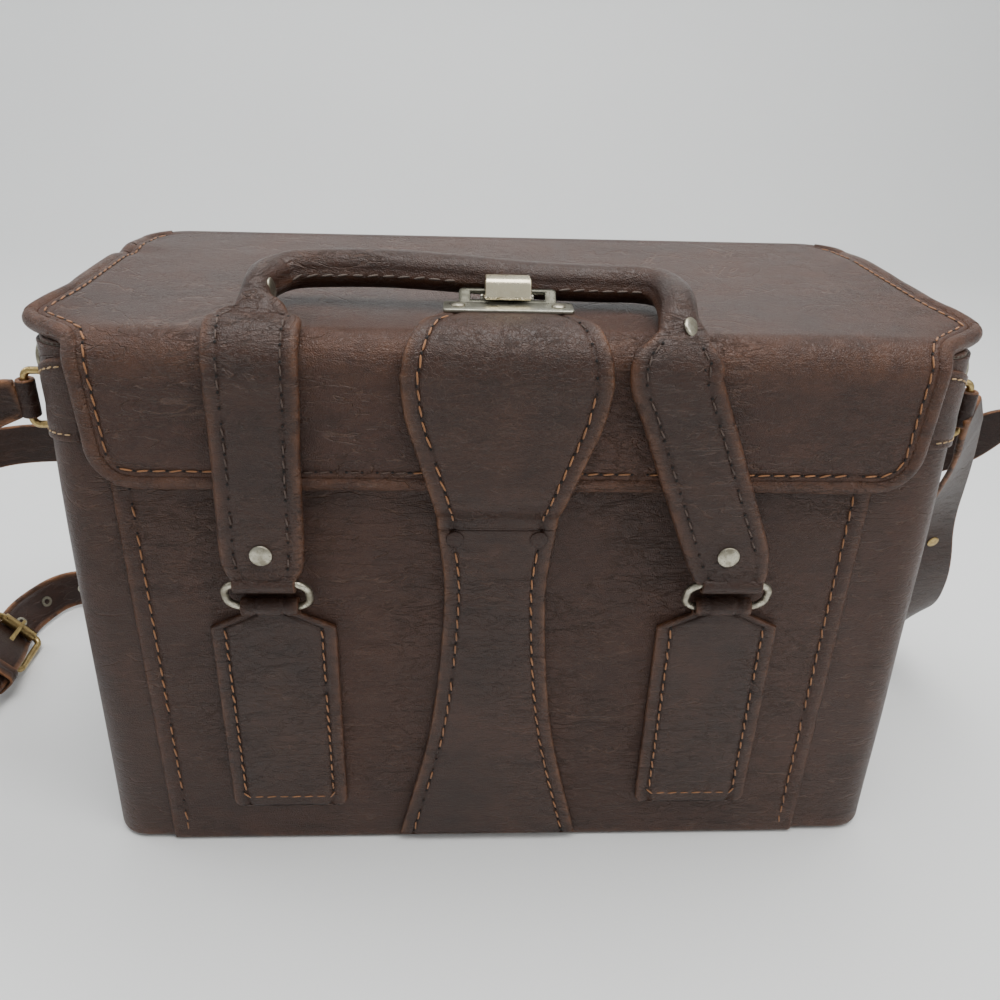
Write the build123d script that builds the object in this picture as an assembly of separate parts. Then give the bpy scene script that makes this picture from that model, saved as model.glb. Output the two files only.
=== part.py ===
from build123d import *
import os
from math import atan2, cos, degrees, radians, sin, sqrt

# Camera case of board and leather. Millimetres, +Z up, front towards -Y.
# The origin is the middle of the base, on the surface that the case stands on.

# Body
CASE_W = 360.0
CASE_D = 169.0
RIM_Z = 249.0
CORNER_R = 16.0
BASE_EDGE_R = 3.0
BOARD_T = 2.4
END_LEATHER_T = 1.3
WRAP_T = 1.5
LINING_T = 1.0
LINING_DROP = 0.4
BINDING_T = 0.8
WRAP_INSET = (23.0, 33.0)
SEAM_LAP = 12.0
LEATHER_DROP = 1.0

# Felt-covered board dividers inside
DIVIDER_T = 9.0
DIVIDER_H = 175.0
DIVIDER_X = (-62.0, 58.0)
DIVIDER_FIT = 0.4
DIVIDER_EDGE_R = 3.0

# Lid
LID_CLEAR = 0.3
LID_LINING_T = 0.8
LID_BOARD_T = 2.7
COVER_T = 2.4
LID_INSET = 3.0
LID_REAR_R = 20.0
NOSE_R = 9.0
FLAP_GAP = 1.8
FLAP_LINING_T = 1.0
FLAP_T = 3.7
FLAP_TOP_INSET = 8.0
FLAP_LOW_INSET = 19.5
FLAP_LOW_Z = 197.0
FLAP_CORNER_R = 14.0
FLAP_SHOULDER_Z = 246.0
ROLL_R = 3.0
ROLL_EAR_R = 6.0
HINGE_STRIP_T = 1.2
HINGE_STRIP_INSET = 30.0
HINGE_STRIP_LAP = 24.0

# Tongue strap and latch
TONGUE_T = 3.3
TONGUE_GAP = 0.4
TONGUE_X = -5.5
FOLD_Z = 175.5
TONGUE_LOW_W = 85.0
TONGUE_LOW_Z = 4.5
TONGUE_WAIST_W = 43.0
TONGUE_WAIST_Z = 140.0
TONGUE_FOLD_W = 48.5
TONGUE_WIDE_W = 79.0
TONGUE_WIDE_Z = 240.0
TONGUE_END_W = 50.0
TONGUE_END_Y = 25.5
TONGUE_LOW_T = 2.4
DISC_D = 6.4
DISC_T = 1.0
DISC_SPAN = 34.0
DISC_RISE = 1.0

HASP_W = 50.0
HASP_D = 11.5
HASP_T = 1.4
HASP_FRAME_W = 38.0
HASP_FRAME_L = 7.0
HASP_FRAME_TILT = 38.0
HASP_SLOT_W = 29.0
HASP_SLOT_L = 3.6
HASP_RIVET_D = 5.4
HASP_RIVET_SPAN = 38.5
RIVET_HEAD_T = 1.1
CLIP_W = 18.0
CLIP_T = 1.2
CLIP_RISE = 13.0
CLIP_LIP = 9.5
CATCH_W = 30.0
CATCH_T = 1.3
CATCH_PIN_R = 1.2
CATCH_EAR_T = 1.4
PIN_CLEAR = 0.05

# Handle on two rings
RING_X = (-99.0, 91.5)
RING_WIRE_R = 1.6
RING_W = 37.4
RING_PITCH = 16.3
RING_LOW_Z = 139.2
RING_CORNER_R = 5.0
LOOP_CLEAR = 0.3
LOOP_LEATHER_T = 2.0
LOOP_W = 24.0
TAB_T = 3.0
TAB_W = 53.0
TAB_LOW_Z = 24.5
TAB_SHOULDER_Z = 127.0
TAB_NECK_Z = 134.0
TAB_CORNER_R = 4.0

STRAP_T = 4.6
STRAP_LOW_W = 24.0
STRAP_MID_W = 33.0
STRAP_TOP_W = (34.0, 32.0)
STRAP_TOP_X = (-96.5, 58.0)
STRAP_FULL_Z = (250.0, 244.0)
STRAP_BEND_W = (33.0, 22.0)
STRAP_FRONT_GAP = 0.8
STRAP_LOW_DROP = 4.5
STRAP_CHAMFER = 4.5
GRIP_R = 7.5
GRIP_Y = -40.5
GRIP_LIFT = 0.6
GRIP_BOW = 5.0
GRIP_X = (-95.5, 62.0)
NECK_X = (-96.0, 60.5)
NECK_FROM_Y = (-82.0, -94.0)
SHOULDER_Y = (-70.0, -80.0)
GRIP_BEND_R = 12.0
NECK_W = 16.0
STRAP_RIVET_D = 9.0
STRAP_RIVET_Z = 169.0
NECK_RIVET_D = 8.4
GRIP_CORE_R = 4.5

# Side rings
WING_T = 1.3
WING_Y = -50.0
WING_Z = 214.0
WING_FRONT_H = 34.0
WING_END_H = 18.0
SIDE_RING_W = 19.0
SIDE_RING_H = 27.0
SIDE_RING_CORNER_R = 3.0
SIDE_LOOP_H = 17.0
STUD_D = 11.0
STUD_T = 2.4
STUD_Y = -63.0
STUD_Z = 238.5

# Shoulder strap
SLING_W = 24.0
SLING_NECK_W = 16.6
SLING_T = 2.6
SLING_FLOOR = 0.4
SLING_RIVET_D = 6.5
EASE_REACH = 12.0
SLING_BACK_GAP = 20.0
TAIL_Z = 131.0
EYELET_D = 6.6
EYELET_BARREL_D = 4.8
EYELET_HOLE_D = 3.4
EYELET_FLANGE_T = 0.8
RIVET_SEAT = 0.1
EYELET_FROM = 30.0
BUCKLE_W = 34.0
BUCKLE_L = 30.0
BUCKLE_CORNER_R = 4.0
BUCKLE_OUT_X = 93.0
BUCKLE_BACK_Y = 118.0
BUCKLE_WIRE_R = 1.9
ROLLER_R = 3.2
ROLLER_CLEAR = 0.2
PRONG_T = 1.6
PRONG_CURL_W = 3.6
KEEPER_T = 1.6
KEEPER_W = 9.0

FRONT_Y = -CASE_D / 2
BACK_Y = CASE_D / 2
END_FACE_Y = CASE_D / 2 - WRAP_T
BOARD_HALF_X = CASE_W / 2 - END_LEATHER_T
BOARD_HALF_Y = END_FACE_Y - END_LEATHER_T
FLOOR_Z = WRAP_T + END_LEATHER_T
LEATHER_TOP_Z = RIM_Z - LEATHER_DROP
HINGE_Z = RIM_Z + BINDING_T
LID_UNDER_Z = HINGE_Z + LID_CLEAR
LID_BOARD_Z = LID_UNDER_Z + LID_LINING_T
COVER_Z = LID_BOARD_Z + LID_BOARD_T
LID_TOP_Z = COVER_Z + COVER_T
FLAP_INNER_Y = FRONT_Y - FLAP_GAP
FLAP_LINING_Y = FLAP_INNER_Y - FLAP_LINING_T
FLAP_OUTER_Y = FLAP_LINING_Y - FLAP_T
ROLL_Y = (FLAP_INNER_Y + FLAP_OUTER_Y) / 2
ROLL_OUT_Y = ROLL_Y - ROLL_R
ROLL_X = CASE_W / 2 - ROLL_R + 1.5
ROLL_Z = LID_UNDER_Z + ROLL_R
NOSE_Z = LID_TOP_Z - NOSE_R

UPRIGHT = (0, 0, 1)
LEANING = (-0.7, 0.0, 0.714)
OUTWARD = (0.714, 0.0, 0.7)
SLING_MID_Z = SLING_FLOOR + SLING_W / 2
BUCKLE_Z = SLING_FLOOR + BUCKLE_W / 2 * LEANING[2] + BUCKLE_WIRE_R
STRAP_OVER = ROLLER_R + SLING_T / 2 + LOOP_CLEAR
SHEET_MARGIN = 400.0


def block(x0, x1, y0, y1, z0, z1):
    """A box between two corners."""
    return Pos((x0 + x1) / 2, (y0 + y1) / 2, (z0 + z1) / 2) * Box(x1 - x0, y1 - y0, z1 - z0)


def rounded_case(half_x, half_y, z0, z1, corner_r, base_r):
    """An upright box with rounded upright corners and a softened base edge."""
    solid = block(-half_x, half_x, -half_y, half_y, z0, z1)
    solid = fillet(solid.edges().filter_by(Axis.Z), corner_r)
    if base_r > 0:
        base = solid.edges().group_by(Axis.Z)[0]
        solid = fillet(base, base_r)
    return solid


def cylinder_x(x0, x1, y, z, r):
    """A cylinder along X."""
    return Pos((x0 + x1) / 2, y, z) * Rot(0, 90, 0) * Cylinder(r, x1 - x0)


def extrude_x(points, x0, x1):
    """A (y, z) outline carried along X."""
    outline = make_face(Polyline(*[(x0, y, z) for y, z in points], close=True))
    return extrude(outline, amount=x1 - x0, dir=(1, 0, 0))


def extrude_y(face_edges, y0, y1):
    """A closed outline drawn at y0 carried along Y."""
    return extrude(make_face(face_edges), amount=y1 - y0, dir=(0, 1, 0))


def tube(path, r):
    """A round rod along a path."""
    start = path @ 0
    return sweep(Plane(origin=start, z_dir=path % 0) * Circle(r), path=path)


def wire_ring(width, height, r, corner_r):
    """A rounded rectangular ring of round wire in the XZ plane, about the origin."""
    half_w = width / 2 - r
    half_h = height / 2 - r
    outline = Plane.XZ * RectangleRounded(2 * half_w, 2 * half_h, corner_r)
    path = outline.faces()[0].outer_wire()
    return sweep(Plane(origin=path @ 0, z_dir=path % 0) * Circle(r), path=path)


def ribbon(stations, thickness):
    """A flat strap through stations of (centre, width direction, width)."""
    sections = []
    for i, (centre, across, width) in enumerate(stations):
        before = Vector(*stations[max(i - 1, 0)][0])
        after = Vector(*stations[min(i + 1, len(stations) - 1)][0])
        along = (after - before).normalized()
        side = Vector(*across)
        side = (side - along * side.dot(along)).normalized()
        plane = Plane(origin=centre, x_dir=side, z_dir=along)
        sections.append(plane * Rectangle(width, thickness))
    runs = [loft(pair, ruled=True) for pair in zip(sections, sections[1:])]
    return runs[0].fuse(*runs[1:])


def eased(stations):
    """The same stations with each inner corner of the run cut in two."""
    result = [stations[0]]
    for i in range(1, len(stations) - 1):
        for other in (i - 1, i + 1):
            here, across, width = stations[i]
            there, other_across, other_width = stations[other]
            span = (Vector(*there) - Vector(*here)).length
            share = min(0.25, EASE_REACH / span)
            place = tuple(a + (b - a) * share for a, b in zip(here, there))
            turn = tuple(a + (b - a) * share for a, b in zip(across, other_across))
            result.append((place, turn, width + (other_width - width) * share))
    result.append(stations[-1])
    return result


def rivet_head(diameter, height=RIVET_HEAD_T):
    """A domed rivet head standing on the XY plane."""
    head = Cylinder(diameter / 2, height, align=(Align.CENTER, Align.CENTER, Align.MIN))
    return fillet(head.edges().group_by(Axis.Z)[-1], height * 0.7)


def rivet(x, y, z, diameter, normal, height=RIVET_HEAD_T):
    """A domed rivet head standing on a surface, with its flat side at the given point."""
    return Plane(origin=(x, y, z), z_dir=normal) * rivet_head(diameter, height)


def end_shell():
    """The leather of both ends before it is cut apart: a thin skin around the board."""
    outer = rounded_case(CASE_W / 2, END_FACE_Y, WRAP_T, LEATHER_TOP_Z, CORNER_R, BASE_EDGE_R)
    inner = rounded_case(
        BOARD_HALF_X,
        BOARD_HALF_Y,
        FLOOR_Z,
        RIM_Z,
        CORNER_R - END_LEATHER_T,
        BASE_EDGE_R - END_LEATHER_T,
    )
    return outer - inner


def body_board():
    """The stiff board tray, open at the top."""
    outer = rounded_case(
        BOARD_HALF_X,
        BOARD_HALF_Y,
        FLOOR_Z,
        RIM_Z,
        CORNER_R - END_LEATHER_T,
        BASE_EDGE_R - END_LEATHER_T,
    )
    return outer - board_hollow(0, RIM_Z + 1)


def board_hollow(inset, top):
    """The space inside the board, drawn in by a lining of that thickness."""
    return rounded_case(
        BOARD_HALF_X - BOARD_T - inset,
        BOARD_HALF_Y - BOARD_T - inset,
        FLOOR_Z + BOARD_T + inset,
        top,
        CORNER_R - END_LEATHER_T - BOARD_T - inset,
        0,
    )


def body_lining():
    """The thin lining glued inside the board."""
    return board_hollow(0, RIM_Z - LINING_DROP) - board_hollow(LINING_T, RIM_Z + 1)


def rim_binding():
    """The leather strip bound over the top edge of the board."""
    outer = rounded_case(
        BOARD_HALF_X, BOARD_HALF_Y, RIM_Z, HINGE_Z, CORNER_R - END_LEATHER_T, 0
    )
    hole = board_hollow(0, HINGE_Z + 1)
    return outer - hole


def wrap_panel(ends):
    """One leather panel down the front, under the base and up the back."""
    x0 = WRAP_INSET[0] - CASE_W / 2
    x1 = CASE_W / 2 - WRAP_INSET[1]
    outer = block(x0, x1, FRONT_Y, BACK_Y, 0, LEATHER_TOP_Z)
    long_edges = outer.edges().filter_by(Axis.X).group_by(Axis.Z)[0]
    outer = fillet(long_edges, BASE_EDGE_R)
    hollow = block(
        x0 - 1, x1 + 1, -BOARD_HALF_Y, BOARD_HALF_Y, FLOOR_Z, LEATHER_TOP_Z + 1
    )
    inner_edges = hollow.edges().filter_by(Axis.X).group_by(Axis.Z)[0]
    hollow = fillet(inner_edges, BASE_EDGE_R - END_LEATHER_T)
    return outer - hollow - ends[0] - ends[1]


def end_panels():
    """The two leather end panels, which wrap the upright corners."""
    shell = end_shell()
    left_cut = WRAP_INSET[0] - CASE_W / 2 + SEAM_LAP
    right_cut = CASE_W / 2 - WRAP_INSET[1] - SEAM_LAP
    left = shell & block(-CASE_W, left_cut, -CASE_D, CASE_D, -1, RIM_Z)
    right = shell & block(right_cut, CASE_W, -CASE_D, CASE_D, -1, RIM_Z)
    return left, right


def divider(x):
    """A felt-covered board that stands across the inside."""
    half_y = BOARD_HALF_Y - BOARD_T - LINING_T - DIVIDER_FIT
    z0 = FLOOR_Z + BOARD_T + LINING_T
    board = block(x - DIVIDER_T / 2, x + DIVIDER_T / 2, -half_y, half_y, z0, z0 + DIVIDER_H)
    top = board.edges().filter_by(Axis.Y).group_by(Axis.Z)[-1]
    return fillet(top, DIVIDER_EDGE_R)


def roll_path():
    """The line of the rolled edge: along one side, down the flap and round to the other."""
    flap_half = CASE_W / 2 - FLAP_LOW_INSET
    top_half = CASE_W / 2 - FLAP_TOP_INSET
    rear_y = BACK_Y - LID_REAR_R
    points = [
        (-ROLL_X, rear_y, ROLL_Z),
        (-ROLL_X, ROLL_Y + NOSE_R, ROLL_Z),
        (-top_half, ROLL_Y, FLAP_SHOULDER_Z),
        (-flap_half, ROLL_Y, FLAP_LOW_Z),
        (flap_half, ROLL_Y, FLAP_LOW_Z),
        (top_half, ROLL_Y, FLAP_SHOULDER_Z),
        (ROLL_X, ROLL_Y + NOSE_R, ROLL_Z),
        (ROLL_X, rear_y, ROLL_Z),
    ]
    radii = [
        ROLL_EAR_R,
        ROLL_EAR_R,
        FLAP_CORNER_R,
        FLAP_CORNER_R,
        ROLL_EAR_R,
        ROLL_EAR_R,
    ]
    return FilletPolyline(*points, radius=radii)


def flap_outline():
    """The front view of the lid: full width at the top, drawn in to the flap below."""
    flap_half = CASE_W / 2 - FLAP_LOW_INSET
    top_half = CASE_W / 2 - FLAP_TOP_INSET
    y = -SHEET_MARGIN / 2
    points = [
        (-ROLL_X, y, LID_TOP_Z + 1),
        (-ROLL_X, y, ROLL_Z),
        (-top_half, y, FLAP_SHOULDER_Z),
        (-flap_half, y, FLAP_LOW_Z),
        (flap_half, y, FLAP_LOW_Z),
        (top_half, y, FLAP_SHOULDER_Z),
        (ROLL_X, y, ROLL_Z),
        (ROLL_X, y, LID_TOP_Z + 1),
    ]
    face = make_face(Polyline(*points, close=True))
    low = face.vertices().group_by(Axis.Z)[0]
    face = fillet(low, FLAP_CORNER_R)
    return extrude(face, amount=SHEET_MARGIN, dir=(0, 1, 0))


def lid_plan(inset, front_y):
    """The plan of the lid, with its two rounded rear corners, as a tall block."""
    half_x = ROLL_X - inset
    solid = block(-half_x, half_x, front_y, BACK_Y - inset, FLAP_LOW_Z - 10, LID_TOP_Z + 1)
    rear = solid.edges().filter_by(Axis.Z).group_by(Axis.Y)[-1]
    return fillet(rear, LID_REAR_R)


def lid_cover(roll):
    """The leather top of the lid, bent down over the front as the flap."""
    outer = block(
        -CASE_W, CASE_W, FLAP_OUTER_Y, BACK_Y, FLAP_LOW_Z, LID_TOP_Z
    )
    nose = outer.edges().filter_by(Axis.X).group_by(Axis.Z)[-1].sort_by(Axis.Y)[0]
    outer = fillet(nose, NOSE_R)
    hollow = block(-CASE_W - 1, CASE_W + 1, FLAP_LINING_Y, BACK_Y + 1, 0, COVER_Z)
    skin = outer - hollow
    skin = skin & flap_outline() & lid_plan(0, FLAP_OUTER_Y - 1)
    return skin - roll


def lid_board(roll):
    """The stiff board under the lid's leather."""
    plan = lid_plan(LID_INSET, FLAP_LINING_Y)
    return (plan & block(-CASE_W, CASE_W, -CASE_D, CASE_D, LID_BOARD_Z, COVER_Z)) - roll


def lid_lining(roll):
    """The lining under the lid's board and down the inside of the flap."""
    profile = [
        (BACK_Y - LID_INSET, LID_UNDER_Z),
        (BACK_Y - LID_INSET, LID_BOARD_Z),
        (FLAP_LINING_Y, LID_BOARD_Z),
        (FLAP_LINING_Y, FLAP_LOW_Z),
        (FLAP_INNER_Y, FLAP_LOW_Z),
        (FLAP_INNER_Y, LID_UNDER_Z),
    ]
    sheet = extrude_x(profile, -CASE_W / 2, CASE_W / 2)
    return (sheet & flap_outline() & lid_plan(LID_INSET, FLAP_OUTER_Y)) - roll


def hinge_strip():
    """The leather hinge, glued to the lid's back edge and sewn down the body's back."""
    half = CASE_W / 2 - HINGE_STRIP_INSET
    y_out = BACK_Y + HINGE_STRIP_T
    strip = block(-half, half, BACK_Y, y_out, HINGE_Z - HINGE_STRIP_LAP, LID_TOP_Z)
    outer = strip.edges().filter_by(Axis.X).group_by(Axis.Z)[-1].sort_by(Axis.Y)[-1]
    return fillet(outer, HINGE_STRIP_T * 0.8)


def tongue_half_width(z):
    """Half the tongue's width at a height on the front."""
    stations = [
        (TONGUE_LOW_Z, TONGUE_LOW_W),
        (TONGUE_WAIST_Z, TONGUE_WAIST_W),
        (FOLD_Z, TONGUE_FOLD_W),
        (TONGUE_WIDE_Z, TONGUE_WIDE_W),
    ]
    for (za, wa), (zb, wb) in zip(stations, stations[1:]):
        if z <= zb:
            return (wa + (wb - wa) * (z - za) / (zb - za)) / 2
    return TONGUE_WIDE_W / 2


def tongue_low():
    """The lower half of the tongue, sewn to the front of the body."""
    y0 = FRONT_Y - TONGUE_LOW_T
    low = tongue_half_width(TONGUE_LOW_Z)
    waist = tongue_half_width(TONGUE_WAIST_Z)
    fold = tongue_half_width(FOLD_Z)
    mid_z = (TONGUE_LOW_Z + TONGUE_WAIST_Z) / 2
    mid = waist + 0.28 * (low - waist)
    left = Spline(
        (TONGUE_X - low, y0, TONGUE_LOW_Z),
        (TONGUE_X - mid, y0, mid_z),
        (TONGUE_X - waist, y0, TONGUE_WAIST_Z),
        (TONGUE_X - fold, y0, FOLD_Z),
    )
    right = Spline(
        (TONGUE_X + fold, y0, FOLD_Z),
        (TONGUE_X + waist, y0, TONGUE_WAIST_Z),
        (TONGUE_X + mid, y0, mid_z),
        (TONGUE_X + low, y0, TONGUE_LOW_Z),
    )
    edges = [left, Line(left @ 1, right @ 0), right, Line(right @ 1, left @ 0)]
    return extrude_y(edges, y0, FRONT_Y)


def tongue_flare(z):
    """The upper tongue's width at a height, widening in an S from the fold to its widest."""
    share = (z - FOLD_Z) / (TONGUE_WIDE_Z - FOLD_Z)
    ease = share * share * (3 - 2 * share)
    return TONGUE_FOLD_W + (TONGUE_WIDE_W - TONGUE_FOLD_W) * ease


def tongue_stations():
    """The upper tongue from the fold line, over the flap and the lid's nose, to the hasp."""
    y_front = ROLL_OUT_Y - TONGUE_GAP - TONGUE_T / 2
    z_top = LID_TOP_Z + TONGUE_GAP + TONGUE_T / 2
    r = z_top - NOSE_Z
    centre_y = y_front + r
    across = (1, 0, 0)
    y_low = FRONT_Y - TONGUE_T / 2
    flare_low_z = FLAP_LOW_Z + (TONGUE_WIDE_Z - FLAP_LOW_Z) / 3
    flare_high_z = FLAP_LOW_Z + (TONGUE_WIDE_Z - FLAP_LOW_Z) * 2 / 3
    points = [
        (y_low, FOLD_Z, TONGUE_FOLD_W),
        (y_low, FOLD_Z + 2, TONGUE_FOLD_W + 0.6),
        (y_low - 2, FOLD_Z + 7, tongue_flare(FOLD_Z + 7)),
        (y_front, FLAP_LOW_Z - 5, tongue_flare(FLAP_LOW_Z - 5)),
        (y_front, flare_low_z, tongue_flare(flare_low_z)),
        (y_front, flare_high_z, tongue_flare(flare_high_z)),
        (y_front, TONGUE_WIDE_Z, TONGUE_WIDE_W),
        (y_front, NOSE_Z, TONGUE_WIDE_W - 0.6),
        (centre_y - r * cos(radians(30)), NOSE_Z + r * sin(radians(30)), TONGUE_WIDE_W - 3),
        (centre_y - r * cos(radians(60)), NOSE_Z + r * sin(radians(60)), TONGUE_WIDE_W - 8),
        (centre_y, z_top, TONGUE_WIDE_W - 14),
        (FRONT_Y + TONGUE_END_Y - HASP_D, z_top, TONGUE_END_W + 3),
        (FRONT_Y + TONGUE_END_Y, z_top, TONGUE_END_W - 4),
    ]
    return [((TONGUE_X, y, z), across, w) for y, z, w in points]


def tongue_upper():
    """The free half of the tongue."""
    above = block(-CASE_W, CASE_W, -CASE_D, CASE_D, FOLD_Z, RIM_Z + CASE_D)
    return ribbon(tongue_stations(), TONGUE_T) & above


def fold_discs():
    """Two leather-covered discs that hold the tongue where it starts to bend."""
    y = FRONT_Y - TONGUE_LOW_T
    z = FOLD_Z - DISC_D / 2 - DISC_RISE
    discs = [rivet(TONGUE_X + side * DISC_SPAN / 2, y, z, DISC_D, (0, -1, 0), DISC_T) for side in (-1, 1)]
    return Compound(children=discs)


def hasp_top_z():
    """The height of the tongue's upper face on the lid."""
    return LID_TOP_Z + TONGUE_GAP + TONGUE_T


def hasp_plate():
    """The riveted plate at the tongue's end, with its slotted frame turned up behind it."""
    z0 = hasp_top_z()
    y1 = FRONT_Y + TONGUE_END_Y
    half = HASP_W / 2
    plate = block(TONGUE_X - half, TONGUE_X + half, y1 - HASP_D, y1, z0, z0 + HASP_T)
    plate = fillet(plate.edges().filter_by(Axis.Z), 1.6)
    frame = block(-HASP_FRAME_W / 2, HASP_FRAME_W / 2, 0, HASP_FRAME_L, 0, HASP_T)
    slot_y = HASP_FRAME_L - 1.7 - HASP_SLOT_L
    frame -= block(-HASP_SLOT_W / 2, HASP_SLOT_W / 2, slot_y, slot_y + HASP_SLOT_L, -1, HASP_T + 1)
    frame = Pos(TONGUE_X, y1, z0) * Rot(HASP_FRAME_TILT, 0, 0) * frame
    return plate + frame


def hasp_rivets():
    """The two rivets of the hasp plate."""
    z = hasp_top_z() + HASP_T
    y = FRONT_Y + TONGUE_END_Y - HASP_D / 2
    heads = [rivet(TONGUE_X + side * HASP_RIVET_SPAN / 2, y, z, HASP_RIVET_D, (0, 0, 1)) for side in (-1, 1)]
    return Compound(children=heads)


def catch_pin_place():
    """Where the catch's pin runs: behind the hasp's frame, low on the lid."""
    reach = HASP_FRAME_L * cos(radians(HASP_FRAME_TILT))
    y = FRONT_Y + TONGUE_END_Y + reach + CATCH_PIN_R + 0.2
    z = LID_TOP_Z + CATCH_T + CATCH_PIN_R + CLIP_T + 0.3
    return y, z


def catch_base():
    """The catch's base plate on the lid, with two ears for the pin."""
    y, z = catch_pin_place()
    half = CATCH_W / 2
    plate = block(
        TONGUE_X - half,
        TONGUE_X + half,
        FRONT_Y + TONGUE_END_Y + TONGUE_GAP,
        y + CATCH_PIN_R + CLIP_T,
        LID_TOP_Z,
        LID_TOP_Z + CATCH_T,
    )
    for side in (-1, 1):
        x = TONGUE_X + side * (CLIP_W / 2 + PIN_CLEAR + CATCH_EAR_T)
        x_in = TONGUE_X + side * (CLIP_W / 2 + PIN_CLEAR * 4)
        low, high = sorted((x, x_in))
        ear = block(low, high, y - 2.4, y + 2.4, LID_TOP_Z, z)
        plate += ear + cylinder_x(low, high, y, z, 2.4)
    return plate - cylinder_x(TONGUE_X - half, TONGUE_X + half, y, z, CATCH_PIN_R)


def catch_pin():
    """The pin that the catch's clip turns on."""
    y, z = catch_pin_place()
    reach = CLIP_W / 2 + PIN_CLEAR * 4 + CATCH_EAR_T
    return cylinder_x(TONGUE_X - reach, TONGUE_X + reach, y, z, CATCH_PIN_R)


def catch_clip():
    """The bright clip that rises from the pin and folds forward over the hasp's frame."""
    y, z = catch_pin_place()
    top_z = LID_TOP_Z + CLIP_RISE + CATCH_T
    barrel_r = CATCH_PIN_R + PIN_CLEAR + CLIP_T
    half = CLIP_W / 2
    x0, x1 = TONGUE_X - half, TONGUE_X + half
    lip_y = y - CLIP_LIP
    points = [
        (y + barrel_r - CLIP_T, z),
        (y + barrel_r, z),
        (y + barrel_r - 0.2, top_z - 1.5),
        (y + barrel_r - 1.7, top_z),
        (lip_y + 2.2, top_z),
        (lip_y + 0.9, top_z - 1.2),
        (lip_y - 0.9, top_z - 7.6),
        (lip_y + 0.3, top_z - 7.9),
        (lip_y + 2.4, top_z - CLIP_T),
        (y + barrel_r - 2.2, top_z - CLIP_T),
        (y + barrel_r - 0.2 - CLIP_T, top_z - 2.2),
    ]
    leaf = extrude_x(points, x0, x1)
    barrel = cylinder_x(x0, x1, y, z, barrel_r)
    return (leaf + barrel) - cylinder_x(x0 - 1, x1 + 1, y, z, CATCH_PIN_R + PIN_CLEAR)


def loop_r():
    """The outer radius of a leather loop around a ring's bar."""
    return RING_WIRE_R + LOOP_CLEAR + LOOP_LEATHER_T


def low_bar():
    """Where a handle ring's lower bar runs, as (y, z)."""
    return FRONT_Y - loop_r() - 0.1, RING_LOW_Z


def strap_y():
    """The middle of a handle strap's thickness on the front."""
    return ROLL_OUT_Y - STRAP_FRONT_GAP - STRAP_T / 2


def high_bar():
    """Where a handle ring's upper bar runs, as (y, z)."""
    y, z = low_bar()
    out = strap_y() - y
    return strap_y(), z + sqrt(RING_PITCH**2 - out**2)


def front_tab(x):
    """A sewn leather tab on the front, folded round a ring's lower bar."""
    y, z = low_bar()
    y0 = FRONT_Y - TAB_T
    half = TAB_W / 2
    neck = LOOP_W / 2
    points = [
        (x - half, y0, TAB_LOW_Z),
        (x - half, y0, TAB_SHOULDER_Z),
        (x - neck, y0, TAB_NECK_Z),
        (x - neck, y0, z),
        (x + neck, y0, z),
        (x + neck, y0, TAB_NECK_Z),
        (x + half, y0, TAB_SHOULDER_Z),
        (x + half, y0, TAB_LOW_Z),
    ]
    face = make_face(Polyline(*points, close=True))
    face = fillet(face.vertices().group_by(Axis.Z)[0], TAB_CORNER_R)
    tab = extrude(face, amount=TAB_T, dir=(0, 1, 0))
    tab += cylinder_x(x - neck, x + neck, y, z, loop_r())
    return tab - cylinder_x(x - neck - 1, x + neck + 1, y, z, RING_WIRE_R + LOOP_CLEAR)


def handle_ring(x):
    """A handle ring, leaning out between the tab below and the strap above."""
    y0, z0 = low_bar()
    y1, z1 = high_bar()
    lean = degrees(atan2(y0 - y1, z1 - z0))
    ring = wire_ring(RING_W, RING_PITCH + 2 * RING_WIRE_R, RING_WIRE_R, RING_CORNER_R)
    return Pos(x, (y0 + y1) / 2, (z0 + z1) / 2) * Rot(lean, 0, 0) * ring


def strap_bend_r():
    """The radius of a handle strap's middle where it bends over the lid's nose."""
    return LID_TOP_Z + STRAP_FRONT_GAP + STRAP_T / 2 - NOSE_Z


def strap_bent_sheet(side):
    """A sheet of the strap's thickness, up the front and back over the lid's nose."""
    y0 = strap_y() - STRAP_T / 2
    y1 = SHOULDER_Y[side]
    z0 = high_bar()[1] - STRAP_LOW_DROP
    z1 = NOSE_Z + strap_bend_r() + STRAP_T / 2
    outer = block(-CASE_W / 2, CASE_W / 2, y0, y1, z0, z1)
    edge = outer.edges().filter_by(Axis.X).group_by(Axis.Z)[-1].sort_by(Axis.Y)[0]
    outer = fillet(edge, strap_bend_r() + STRAP_T / 2)
    inner = block(-CASE_W, CASE_W, y0 + STRAP_T, y1 + 1, z0 - 1, z1 - STRAP_T)
    edge = inner.edges().filter_by(Axis.X).group_by(Axis.Z)[-1].sort_by(Axis.Y)[0]
    return outer - fillet(edge, strap_bend_r() - STRAP_T / 2)


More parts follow.
